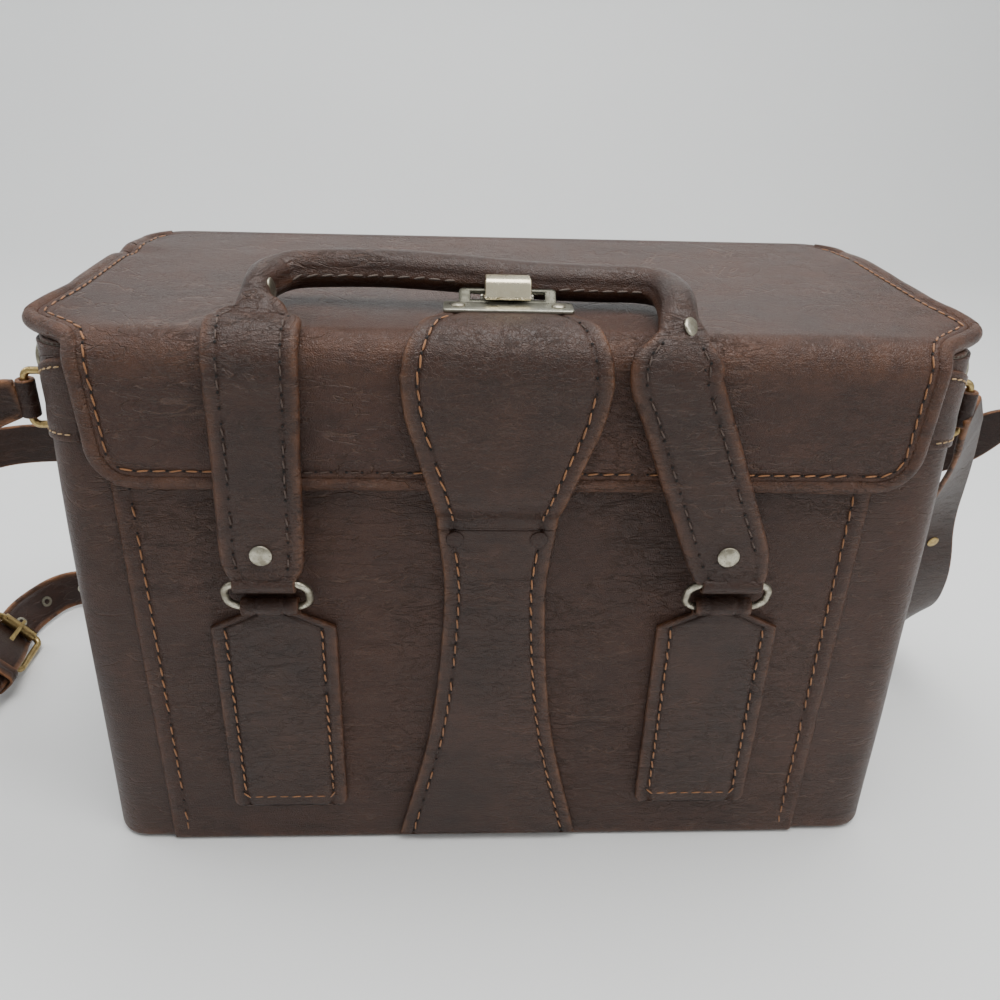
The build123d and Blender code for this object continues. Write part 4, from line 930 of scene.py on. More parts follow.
@dataclass
class Seam:
    """A line of hand-spaced stitches, each a small thread capsule that dips into its two holes.

    A capsule is a rod of six sides whose radius follows a half ellipse and whose middle stands above the
    leather by a share of its radius and sinks at both ends.
    """

    name: str
    body: str | Bend
    slot: str
    finish: Finishes
    thread: Thread
    pitch: float
    lines: list[tuple[Array, Array]] = field(default_factory=list)

    def add(self, line: Array, normal: Array | tuple[float, ...]) -> None:
        """Adds a line of stitches on the leather's surface, with the direction out of it."""
        self.lines.append((line, np.array(np.broadcast_to(normal, line.shape), float)))

    def places(self) -> tuple[Array, Array, Array]:
        """Where the stitches of all the lines lie.

        Returns:
            The middle, direction and normal of each stitch.
        """
        rows = []
        for line, normal in self.lines:
            along = lengths(line)
            count = max(int(round(along[-1] / self.pitch)), 1)
            marks = (np.arange(count) + 0.5) * along[-1] / count
            reach = self.pitch * 0.3
            at = lambda s, values: stack(*(np.interp(s, along, column) for column in values.T))
            way = unit(at(marks + reach, line) - at(marks - reach, line))
            rows.append((at(marks, line), way, unit(at(marks, normal))))
        return tuple(np.vstack(column) for column in zip(*rows))

    def capsules(self, centre: Array, way: Array, normal: Array, size: Array) -> Shell:
        """One shell with a capsule at each place.

        Args:
            centre: the capsules' middles.
            way: their X directions.
            normal: their Z directions.
            size: their scale along X, Y and Z, one row each.

        Returns:
            The joined shell.
        """
        rows = np.array([-0.86, -0.5, 0.0, 0.5, 0.86])
        ring = np.sqrt(1 - np.abs(rows) ** 3)[:, None, None] * circle(6)
        verts = np.vstack([stack(rows[:, None], ring[..., 0], ring[..., 1]).reshape(-1, 3), [[-1, 0, 0], [1, 0, 0]]])
        across = unit(np.cross(normal, way))
        scaled = verts[None] * size[:, None, :]
        axes = np.stack([way, across, np.cross(way, across)], axis=1)
        starts = (np.arange(len(centre)) * len(verts))[:, None, None]
        blocks = [(block[None] + starts).reshape(-1, block.shape[1]) for block in closed_grid(5, 6)]
        return Shell((centre[:, None, :] + scaled @ axes).reshape(-1, 3), blocks)

    def sew(self, missing: float = 0.0) -> Seam:
        """Makes the stitches.

        Args:
            missing: the share of stitches that have worn away, leaving their holes.

        Returns:
            This seam.
        """
        centre, way, normal = self.places()
        count = len(centre)
        draw = np.random.default_rng(SEED + count)
        _, radius, share = self.thread.value
        length = self.pitch * share / 2 * draw.uniform(0.9, 1.08, count)
        slant = np.tan(radians(6) + draw.normal(0, 0.05, count))[:, None]
        height = draw.uniform(0.15, 0.45, count)[:, None] * radius
        kept = draw.uniform(size=count) >= missing
        rows = (centre + normal * height, unit(way + np.cross(normal, way) * slant), normal)
        shell = self.capsules(*(row[kept] for row in rows), stack(length, radius, radius * 0.9)[kept])
        put(self.name, shell, self.finish.threads[self.thread], self.body, self.slot)
        return self

    def dig(self) -> None:
        """Makes the holes: a small dimple of painted shade at each end of the stitches, half sunk in the leather."""
        centre, way, normal = self.places()
        spots = np.vstack([centre - way * self.pitch / 2, centre[-1:] + way[-1:] * self.pitch / 2])
        radius = max(self.thread.value[1], 0.00042)
        size = np.tile([radius * 1.35, radius * 1.15, radius * 0.45], (len(spots), 1))
        shell = self.capsules(spots, np.vstack([way, way[-1:]]), np.vstack([normal, normal[-1:]]), size)
        put(self.name.replace("stitches", "holes"), shell, self.finish.hole, self.body, self.slot)


@dataclass
class CaseSizes:
    """The sizes that several sub-assemblies share, as in the frame."""

    width: float = 0.360
    depth: float = 0.169
    rim_z: float = 0.249
    corner_r: float = 0.016
    base_r: float = 0.003
    wrap_t: float = 0.0015
    end_t: float = 0.0013
    wrap_inset: tuple[float, float] = (0.023, 0.033)
    leather_top_z: float = 0.248
    lid_top_z: float = 0.256
    nose_r: float = 0.013
    flap_out_y: float = -0.091
    flap_low_z: float = 0.197
    roll_x: float = 0.1785
    roll_r: float = 0.003
    tongue_x: float = -0.0055
    latch_shift: float = 0.0028
    fold_z: float = 0.1755
    bulge: float = 0.0062
    bulge_top: float = 0.222

    @property
    def front_y(self) -> float:
        """The front leather's face."""
        return -self.depth / 2

    @property
    def back_y(self) -> float:
        """The back leather's face."""
        return self.depth / 2

    @property
    def end_y(self) -> float:
        """Where the end leather's face lies on the front and back."""
        return self.depth / 2 - self.wrap_t

    @property
    def latch_x(self) -> float:
        """The middle of the latch."""
        return self.tongue_x + self.latch_shift

    def bulged(self, points: Array) -> Array:
        """Points of the end leather pushed outwards, most at the base and not at all under the lid.

        The push is the bulge times (1 - z / top) to the power 0.6, faded in between two widths.

        Args:
            points: the places.

        Returns:
            The places after the push.
        """
        x = points[..., 0]
        push = self.bulge * np.clip(1 - points[..., 2] / self.bulge_top, 0, 1) ** 0.6
        return points + stack(np.sign(x) * push * smoothstep(np.abs(x), 0.150, 0.172), 0.0, 0.0)


def outline_distance(points: Array, outline: Array) -> Array:
    """The shortest distance from each point to a closed broken line, both in the same flat plane."""
    best = np.full(len(points), np.inf)
    for start, step in zip(outline, np.roll(outline, -1, axis=0) - outline):
        t = np.clip(((points - start) @ step) / max(step @ step, 1e-18), 0, 1)
        best = np.minimum(best, ((points - start - t[:, None] * step) ** 2).sum(axis=1))
    return np.sqrt(best)


@dataclass
class Body:
    """The body: wrapped panel, end panels, interior, side wings, studs and side rings."""

    sizes: CaseSizes
    finish: Finishes
    seam_inset: float = 0.0072
    seam_pitch: float = 0.0066
    wing_t: float = 0.0013
    wing_y: float = -0.050
    wing_z: float = 0.214
    wing_front_z: float = 0.2275
    wing_front_h: float = 0.034
    wing_end_h: float = 0.018
    wing_seam_inset: float = 0.0033
    wing_seam_pitch: float = 0.0036
    loop_r: float = 0.0039
    loop_w: float = 0.0165
    loop_t: float = 0.0019
    wire_r: float = 0.0016
    ring_corner_r: float = 0.003
    stud_d: float = 0.0135
    stud_t: float = 0.0024
    stud_y: float = -0.0645
    stud_z: float = 0.2390

    def build(self) -> None:
        """Builds every piece of the body."""
        self.wrap()
        for side in Side:
            self.end(side)
        self.interior()
        for side in Side:
            self.wing(side)
            self.stud(side)
            self.ring(side)

    def wrap(self) -> None:
        """The wrapped panel: a sheet down the front, under the base and up the back, with its two seams.

        Its lift is a small ripple, minus a bell along each stitch line, less the leather's thickness where
        the turned edge rounds off, all fading to nothing at the base and the top.
        """
        s = self.sizes
        corners = [(s.front_y, s.leather_top_z), (s.front_y, 0.0), (s.back_y, 0.0), (s.back_y, s.leather_top_z)]
        line = evenly(rounded(corners, [0, s.base_r, s.base_r, 0]), 420)
        x0, x1 = s.wrap_inset[0] - s.width / 2, s.width / 2 - s.wrap_inset[1]
        near = np.array([0.0, 0.0003, 0.0009, 0.0018, 0.0035, 0.0055, 0.0064, 0.0072, 0.0080, 0.0092, 0.012])
        xs = np.concatenate([x0 + near, np.linspace(x0 + 0.018, x1 - 0.018, 60), x1 - near[::-1]])
        points = stack(xs[None, :], line[:, :1], line[:, 1:]).reshape(-1, 3)
        gap = np.tile(np.minimum(xs - x0, x1 - xs), len(line))
        calm = smoothstep(points[:, 2], 0.004, 0.03) * (1 - smoothstep(points[:, 2], 0.236, 0.247))
        lift = 0.00035 * ripple(points, 0.09, 1) * smoothstep(gap, 0.006, 0.03)
        lift += 0.00045 * bump(gap, 0.0035, 0.0028) - 0.00055 * bump(gap, self.seam_inset, 0.0011)
        lift = lift * calm - s.wrap_t * 0.55 * np.clip(1 - gap / 0.0009, 0, 1) ** 2
        normal = np.repeat(stack(0.0, *outward_of(line).T), len(xs), axis=0)
        low_wear = 0.8 * (1 - smoothstep(points[:, 2], 0.001, 0.006))
        wear = np.maximum(np.clip(1 - gap / 0.003, 0, 1) * 0.8, low_wear)
        faces = [grid_quads(len(line), len(xs))]
        shell = Shell(points + normal * lift[:, None], faces, wear, points[:, [0, 2]])
        shell.facing(len(line) // 8 * (len(xs) - 1), -Y_AXIS)
        put("wrap_panel_leather", shell, self.finish.body, "case", "leather", "wrap_panel", sheet=s.wrap_t * 0.9)
        seam = Seam("wrap_seam_stitches", "case", "leather", self.finish, Thread.ORANGE, self.seam_pitch)
        z = np.linspace(0.006, s.leather_top_z - 0.004, 80)
        for x in (x0 + self.seam_inset, x1 - self.seam_inset):
            for y, way in ((s.front_y, -1.0), (s.back_y, 1.0)):
                seam.add(stack(x, y - way * 0.00025, z), (0.0, way, 0.0))
        seam.sew(0.12).dig()

    def end(self, side: Side) -> None:
        """An end panel: a wall round one end of the plan, turned under the base.

        Down each column the wall drops from the rim, turns on a quarter circle of the base radius and then
        runs in to the middle of the panel's inner edge.

        Args:
            side: which end.
        """
        s, sign = self.sizes, side.value
        inset = s.wrap_inset[0] if side is Side.LEFT else s.wrap_inset[1]
        cut, low = s.width / 2 - inset - 0.012, s.wrap_t * 0.35
        corners = [(cut, -s.end_y), (s.width / 2, -s.end_y), (s.width / 2, s.end_y), (cut, s.end_y)]
        plan = evenly(rounded(corners, [0, s.corner_r, s.corner_r, 0], steps=14), 170)
        out = outward_of(plan)
        turn = np.linspace(0, HALF_PI, 6)
        wall = np.concatenate([[s.leather_top_z, s.leather_top_z - 0.0008], np.linspace(0.244, 0.006, 90)])
        z = np.concatenate([wall, low + s.base_r * (1 - np.sin(turn))])
        pull = np.concatenate([0 * wall, s.base_r * (1 - np.cos(turn))])
        flat = plan - out * pull[:, None, None]
        grid = stack(flat[..., 0], flat[..., 1], z[:, None])
        lift = 0.0005 * ripple(grid.reshape(-1, 3), 0.10, 2 + sign).reshape(grid.shape[:2])
        lift *= smoothstep(grid[..., 2], 0.004, 0.03) * (1 - smoothstep(grid[..., 2], 0.20, 0.246))
        grid[..., :2] += out * (lift * smoothstep(grid[..., 0], cut, s.width / 2))[..., None]
        centre = np.array([cut, 0.0, low])
        grid = np.concatenate([grid, [grid[-1] * (1 - t) + centre * t for t in (0.35, 0.75)]])
        rows, columns = grid.shape[:2]
        verts = np.vstack([grid.reshape(-1, 3), centre])
        wear = np.concatenate([0.7 * (1 - smoothstep(verts[:-1, 2], 0.001, 0.008)), [0.0]])
        verts[:, 0] *= sign
        verts = s.bulged(verts)
        j = np.arange(columns - 1) + (rows - 1) * columns
        shell = Shell(verts, [grid_quads(rows, columns), stack(j, j + 1, rows * columns)], wear, verts[:, [1, 2]])
        shell.facing(20 * (columns - 1) + columns // 2, X_AXIS * sign)
        names = f"end_panel_leather_{side.label}", f"end_panel_{side.label}"
        put(names[0], shell, self.finish.body, "case", "leather", names[1], sheet=s.end_t * 0.9)

    def interior(self) -> None:
        """The lining, the rim binding and the dividers; the board tray keeps its CAD shape."""
        dress("body_board", self.finish.board)
        low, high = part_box("body_lining")
        slack, curve, floor = 0.0009, 0.004, low.z + 0.0011
        plan = rectangle(low.x + slack, low.y + slack, high.x - slack, high.y - slack, 0.0114, 9)
        turn = np.linspace(0.2, HALF_PI, 5)
        levels = np.concatenate([np.linspace(high.z, low.z + curve, 30), low.z + curve * (1 - np.sin(turn))])
        pull = np.concatenate([np.zeros(30), curve * (1 - np.cos(turn))])
        flat = plan * (1 - pull[:, None, None] / 0.08)
        grid = stack(flat[..., 0], flat[..., 1], np.maximum(levels, floor)[:, None])
        rows, columns = grid.shape[:2]
        verts = np.vstack([grid.reshape(-1, 3), [0.0, 0.0, floor]])
        fan = fan_rows((rows - 1) * columns, columns, rows * columns)
        shell = Shell(verts, [grid_quads(rows, columns, close_columns=True), fan])
        shell.facing(0, -verts[0] * [1, 1, 0])
        put("inside_lining", shell, self.finish.lining, "case", "lining", "body_lining", sheet=0.0008)

        low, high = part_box("rim_binding")
        half = 0.0012
        middle = rectangle(low.x + half, low.y + half, high.x - half, high.y - half, 0.0135, 10)
        path = stack(*middle.T, self.sizes.rim_z - 0.0004)
        along, up, _ = frames(path, Z_AXIS, closed=True)
        shell = carry(path, np.cross(along, up), up, circle(20) * [0.00125, half], closed=True, wear=0.5)
        put("rim_binding_leather", shell, self.finish.body, "case", "leather", "rim_binding")

        for side in Side:
            low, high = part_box(f"divider_{side.label}")
            path = stack((low.x + high.x) / 2, 0.0, np.linspace(low.z, high.z, 60))
            rise = np.clip((high.z - path[:, 2]) / 0.0035, 0, 1)
            thickness = (high.x - low.x) * np.sqrt(np.clip(1 - (1 - rise) ** 2, 0.10, 1))
            shell = strap(path, Y_AXIS, high.y - low.y, thickness, crown=0.0)
            put(f"felt_divider_{side.label}", shell, self.finish.felt, "case", "divider_felt", f"divider_{side.label}")

    def wing(self, side: Side) -> None:
        """A sewn wing round a front corner, drawn in from the front to a loop that holds the side ring.

        Along its line round the corner its upper and lower edges close in evenly, its face stands off the
        end panel by its thickness, rounded at the edges and pressed at the two stitch lines.

        Args:
            side: which end.
        """
        s, sign, finish = self.sizes, side.value, self.finish.body
        angle = np.linspace(0, HALF_PI, 18)
        arc = stack(s.width / 2 - s.corner_r * (1 - np.sin(angle)), -s.end_y + s.corner_r * (1 - np.cos(angle)))
        straight = stack(s.width / 2, np.linspace(-s.end_y + s.corner_r, self.wing_y + 0.001, 31)[1:])
        plan = np.vstack([arc, straight])
        out = outward_of(plan)
        reach = (plan[:, 1] - plan[0, 1]) / (self.wing_y - plan[0, 1])
        half = (self.wing_front_h + (self.wing_end_h - self.wing_front_h) * reach) / 2
        middle = self.wing_front_z + (self.wing_z - self.wing_front_z) * reach
        edge = np.array([0.0, 0.0002, 0.0007, 0.0016, 0.0026, 0.0033, 0.0040, 0.006]) / half.max()
        share = np.concatenate([edge, np.linspace(0.45, 1.55, 12), 2 - edge[::-1]])
        height = middle[:, None] + half[:, None] * (share - 1)
        gap = half[:, None] * np.minimum(share, 2 - share)
        lift = self.wing_t * (1 - np.clip(1 - gap / 0.0008, 0, 1) ** 2 * 0.85)
        lift -= 0.00035 * bump(gap, self.wing_seam_inset, 0.0008)
        grid = stack((plan[:, :1] + out[:, :1] * lift) * sign, plan[:, 1:] + out[:, 1:] * lift, height)
        rows, columns = height.shape
        verts = s.bulged(grid).reshape(-1, 3)
        wear = np.clip(1 - gap / 0.0018, 0, 1).reshape(-1) * 0.8
        shell = Shell(verts, [grid_quads(rows, columns)], wear, verts[:, 1:])
        shell.facing(rows * columns // 2, X_AXIS * sign)
        names = f"wing_leather_{side.label}", f"side_wing_{side.label}"
        put(names[0], shell, finish, "case", "leather", names[1], sheet=self.wing_t * 0.95)

        turn = np.linspace(-HALF_PI, pi * 0.95, 40)
        radius = self.loop_r - 0.001
        x = s.width / 2 + self.wing_t + self.loop_t + radius * np.cos(turn)
        lead = [[s.width / 2 + 0.0011, self.wing_y - 0.012], [s.width / 2 + 0.0013, self.wing_y - 0.004]]
        line = np.vstack([lead, stack(x, self.wing_y + self.loop_r + radius * np.sin(turn))])
        path = evenly(stack(line[:, 0] * sign, line[:, 1], self.wing_z), 60)
        loop = strap(path, Z_AXIS, self.loop_w, self.loop_t, crown=0.0)
        put(f"wing_loop_{side.label}", loop, finish, "case", "leather")

        seam = Seam(f"wing_stitches_{side.label}", "case", "leather", self.finish, Thread.PALE, self.wing_seam_pitch)
        flat = (plan + out * 0.0011) * [sign, 1]
        for end in (-1, 1):
            points = s.bulged(stack(*flat.T, middle + end * (half - self.wing_seam_inset)))
            seam.add(points[2:-3], stack(out[:, 0] * sign, out[:, 1], 0.0)[2:-3])
        seam.sew()

    def stud(self, side: Side) -> None:
        """The domed stud under the lid's ear."""
        place = (side.value * self.sizes.width / 2, self.stud_y, self.stud_z)
        shell = rivet(self.stud_d, self.stud_t, 0.25, place, X_AXIS * side.value, 32)
        put(f"stud_{side.label}", shell, self.finish.nickel, "case", "nickel", f"side_stud_{side.label}")

    def ring(self, side: Side) -> None:
        """The brass ring that stands out from the wing's loop."""
        node, r = f"side_ring_{side.label}", self.wire_r
        low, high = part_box(node)
        outline = rectangle(low.x + r, low.z + r, high.x - r, high.z - r, self.ring_corner_r, 9)
        path = stack(outline[:, 0], (low.y + high.y) / 2, outline[:, 1])
        shell = tube(path, r, closed=True, across=Y_AXIS)
        put(f"brass_ring_{side.label}", shell, self.finish.brass, node, "brass", node)


@dataclass
class Lid:
    """The lid: leather cover with its flap, rolled edge, lining, stitches and hinge."""

    sizes: CaseSizes
    finish: Finishes
    rear_r: float = 0.020
    flap_top_inset: float = 0.0185
    flap_low_inset: float = 0.0215
    ear_flare: float = 0.0042
    ear_run: tuple[float, float] = (0.148, 0.174)
    flap_corner_r: float = 0.014
    cover_t: float = 0.0016
    roll_sink: float = 0.0029
    seam_inset: float = 0.0052
    seam_pitch: float = 0.0062
    border_rise: float = 0.0024
    border_reach: float = 0.013
    hinge_inset: float = 0.030
    hinge_t: float = 0.0012
    hinge_low_z: float = 0.2258

    def __post_init__(self) -> None:
        """Draws the (y, z) line of the cover's face, from the back, over the nose and down the flap."""
        s = self.sizes
        corners = [(s.back_y, s.lid_top_z), (s.flap_out_y, s.lid_top_z), (s.flap_out_y, s.flap_low_z)]
        self.line = rounded(corners, [0, s.nose_r, 0], steps=14)
        self.length = lengths(self.line)

    def build(self) -> None:
        """Builds every piece of the lid."""
        self.cover()
        self.stitches()
        self.roll()
        self.lining()
        self.hinge()
        self.board()

    def flap_half(self, z: Array | float) -> Array:
        """Half the flap's width at a height, which narrows evenly downwards."""
        s = self.sizes
        down = np.clip((s.lid_top_z - z) / (s.lid_top_z - s.flap_low_z), 0, 1)
        return s.width / 2 - self.flap_top_inset + (self.flap_top_inset - self.flap_low_inset) * down

    def half_width(self, run: Array) -> Array:
        """Half the cover's width where its line has come a given length.

        On the lid it is the roll's place, less a quarter circle at the rear corner, plus a bell at the ear.
        From the ear it runs in on an S curve to the flap, less a quarter circle at the low corner.

        Args:
            run: the lengths from the back.

        Returns:
            Half the width at each.
        """
        s = self.sizes
        z = np.interp(run, self.length, self.line[:, 1])
        half = s.roll_x + self.ear_flare * bump(run, self.ear_run[0] + 0.001, 0.016) - corner_cut(run, self.rear_r)
        half += (self.flap_half(z) - half) * smoothstep(run, *self.ear_run)
        return half - corner_cut(z - s.flap_low_z, self.flap_corner_r)

    def outline(self) -> Array:
        """The cover's outline in its flat plane of (x, length), closed, starting at the back left."""
        total = self.length[-1]
        rear, low = (np.linspace(0, radius, 24)[1:-1] for radius in (self.rear_r, self.flap_corner_r))
        run = np.unique(np.concatenate([total * np.linspace(0, 1, 160), rear, total - low]))
        half = self.half_width(run)
        return np.vstack([stack(-half, run), stack(half, run)[::-1]])

    def edge_path(self, inset: float, count: int, start: float) -> tuple[Array, Array]:
        """The cover's outline moved inwards, from the back left round the flap to the back right.

        Args:
            inset: how far inwards.
            count: points round the whole outline.
            start: how far from the back the path begins and ends.

        Returns:
            The length from the back and the x of each point.
        """
        line = evenly(self.outline(), count)
        line = line + outward_of(line) * inset
        x, run = line[line[:, 1] > start].T
        return run, x

    def face(self, run: Array, x: Array, lift: Array | float = 0.0) -> tuple[Array, Array]:
        """Places on the cover.

        Args:
            run: how far from the back, along the cover's line.
            x: how far from the middle.
            lift: how far off the face.

        Returns:
            The places, and the directions out of the cover.
        """
        table = np.hstack([self.line, outward_of(self.line)])
        y, z, out_y, out_z = (np.interp(run, self.length, column) for column in table.T)
        return stack(x, y + out_y * lift, z + out_z * lift), unit(stack(0.0, out_y, out_z))

    def border(self, points: Array) -> Array:
        """How far the lid's side borders stand up, with a dent in the left one."""
        y = points[..., 1]
        rise = self.border_rise * smoothstep(y, -0.078, -0.045) * (1 - smoothstep(y, 0.035, 0.072))
        return rise * (1 - 0.85 * bump(y, 0.033, 0.0090) * (points[..., 0] < 0))

    def cover(self) -> None:
        """The cover's leather.

        A grid of lengths and shares of the half width. Its lift is a soft ripple, a raised border outside
        the stitch line, a bell pressed in along it, and a fall to the rolled edge, all by the distance to
        the outline.
        """
        total = self.length[-1]
        near = np.array([0.0, 0.001, 0.002, 0.003, 0.0040, 0.0046, 0.0052, 0.0058, 0.0068, 0.0085, 0.012])
        rear = self.rear_r * (1 - np.cos(np.linspace(0, HALF_PI, 14)))
        runs = np.concatenate([rear, np.linspace(self.rear_r, total - 0.016, 190)[1:], total - near[::-1]])
        runs = np.unique(np.round(runs, 7))
        half = self.half_width(runs)[:, None]
        edge = np.maximum(half - near[::-1], half * (1 - 0.1 * near[::-1] / near[-1]))
        shrink = np.minimum(1.0, ((half - near[-1]) / (half * 0.9)).clip(0.5, 1.2))
        right = np.concatenate([half * np.linspace(0, 0.9, 84)[:-1] * shrink, edge], axis=1)
        xs = np.concatenate([-right[:, :0:-1], right], axis=1)
        rows, columns = xs.shape
        flat = stack(xs, runs[:, None]).reshape(-1, 2)
        x, run = flat.T
        gap = outline_distance(flat, self.outline())
        points, _ = self.face(run, x)
        not_back, top = smoothstep(run, 0.002, 0.012), 1 - smoothstep(run, 0.168, 0.178)
        sag = np.clip(1 - (points[:, 0] / 0.17) ** 2, 0, 1) * np.clip(1 - (points[:, 1] / 0.085) ** 2, 0, 1)
        lift = 0.0006 * ripple(points, 0.11, 5) * smoothstep(gap, 0.008, 0.04)
        lift += 0.00025 * ripple(points, 0.035, 6) * smoothstep(gap, 0.008, 0.03)
        lift -= 0.0007 * bump(gap, self.seam_inset, 0.0011) * not_back
        lift -= 0.0024 * (1 - smoothstep(gap, 0.0, 0.0042)) * not_back
        lift += (self.border(points) * bump(gap, 0.0, self.border_reach) - 0.0012 * sag) * top
        verts, _ = self.face(run, x, lift)
        # Paler towards the outline, and in a soft band along the nose.
        wear = np.maximum(np.clip(1 - gap / 0.0062, 0, 1) * 0.6 * not_back, 0.35 * bump(run, 0.176, 0.010))
        shell = Shell(verts, [grid_quads(rows, columns)], wear, flat)
        shell.facing(rows // 3 * (columns - 1) + columns // 2, Z_AXIS)
        put("lid_cover_leather", shell, self.finish.lid, "lid", "leather", "lid_cover", sheet=self.cover_t)

    def stitches(self) -> None:
        """The stitches along the cover's border, except at the back; those behind the tongue's left are worn."""
        run, x = self.edge_path(self.seam_inset, 900, 0.010)
        points, normals = self.face(run, x, -0.0005)
        points[:, 2] += self.border(points) * bump(self.seam_inset, 0.0, self.border_reach)
        hidden = (points[:, 2] < 0.206) & (points[:, 0] > -0.082) & (points[:, 0] < -0.040)
        first, last = int(np.argmax(hidden)), len(points) - int(np.argmax(hidden[::-1]))
        seam, worn = (
            Seam(name, "lid", "leather", self.finish, thread, self.seam_pitch)
            for name, thread in (("lid_edge_stitches", Thread.ORANGE), ("lid_edge_worn_stitches", Thread.DARK))
        )
        for owner, rows in ((seam, slice(None, first)), (seam, slice(last, None)), (worn, slice(first, last))):
            owner.add(points[rows], normals[rows])
        seam.sew(0.03)
        worn.sew(0.35)
        seam.lines += worn.lines
        seam.dig()

    def roll(self) -> None:
        """The rolled edge: a rod just under the cover's outline, along the sides and round the flap."""
        run, x = self.edge_path(0.0, 720, 0.002)
        path, _ = self.face(run, x, -self.roll_sink)
        path[:, 2] += self.border(path)
        radius = self.sizes.roll_r * 1.05 * (1 + 0.05 * ripple(path, 0.02, 8))
        shell = tube(path, radius, flat=1.12, across=np.array([0.0, 1.0, 0.02]))
        shell.wear = np.full(len(shell.verts), 0.40)
        put("lid_rolled_edge", shell, self.finish.lid, "lid", "leather", "lid_edge_roll")

    def lining(self) -> None:
        """The lining under the lid and down the inside of the flap, a sheet that follows the cover."""
        s = self.sizes
        low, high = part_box("lid_lining")
        inner_y, top_z, slack, columns = low.y + 0.0008, 0.2504, 0.001, 60
        corners = [(high.y, top_z), (inner_y, top_z), (inner_y, s.flap_low_z + slack)]
        line = evenly(rounded(corners, [0, 0.002, 0], steps=6), 120)
        y, z = line.T
        half = np.where(z > top_z - 0.001, self.half_width(s.back_y - y) - 0.0036, self.flap_half(z) - slack)
        half = np.where(y < -0.078, np.minimum(half, self.flap_half(s.lid_top_z) - slack), half)
        half = half - corner_cut(high.y - y, 0.018) - corner_cut(z - s.flap_low_z, 0.013)
        grid = stack(half[:, None] * np.linspace(-1, 1, columns), y[:, None], z[:, None])
        shell = Shell(grid.reshape(-1, 3), [grid_quads(len(line), columns)]).facing(columns // 2, -Z_AXIS)
        put("lid_inside_lining", shell, self.finish.lining, "lid", "lining", "lid_lining", sheet=0.0006)

    def hinge(self) -> None:
        """The leather hinge: a strip from the body's back up to the lid's back edge."""
        s = self.sizes
        half, y = s.width / 2 - self.hinge_inset, s.back_y + self.hinge_t / 2
        path = stack(0.0, y, np.linspace(self.hinge_low_z, s.lid_top_z - 0.0002, 60))
        bend = Bend("case", "lid", (0, s.back_y, 0.2470), (0, s.back_y, 0.2526))
        strip = strap(path, X_AXIS, 2 * half, self.hinge_t, crown=0.0)
        put("hinge_leather", strip, self.finish.body, bend, "leather", "hinge_strip")
        seam = Seam("hinge_stitches", "case", "leather", self.finish, Thread.ORANGE, self.seam_pitch)
        for rise in (0.004, 0.011):
            x = np.linspace(-half + 0.006, half - 0.006, 200)
            seam.add(stack(x, y + self.hinge_t / 2, self.hinge_low_z + rise), Y_AXIS)
        seam.sew()

    def board(self) -> None:
        """The stiff board inside the lid, kept clear of the rounded front edge."""
        low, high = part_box("lid_board")
        cut, front, shoulder = 0.020, -0.0825, -0.062
        corners = [(low.x, shoulder), (low.x + cut, front), (high.x - cut, front), (high.x, shoulder)]
        outline = rounded([*corners, (high.x, high.y), (low.x, high.y)], [0.004] * 4 + [0.018] * 2, closed=True)
        plate = slab(outline, low.z + 0.0002, high.z - 0.0002)
        put("lid_stiff_board", plate, self.finish.board, "lid", "board", "lid_board")


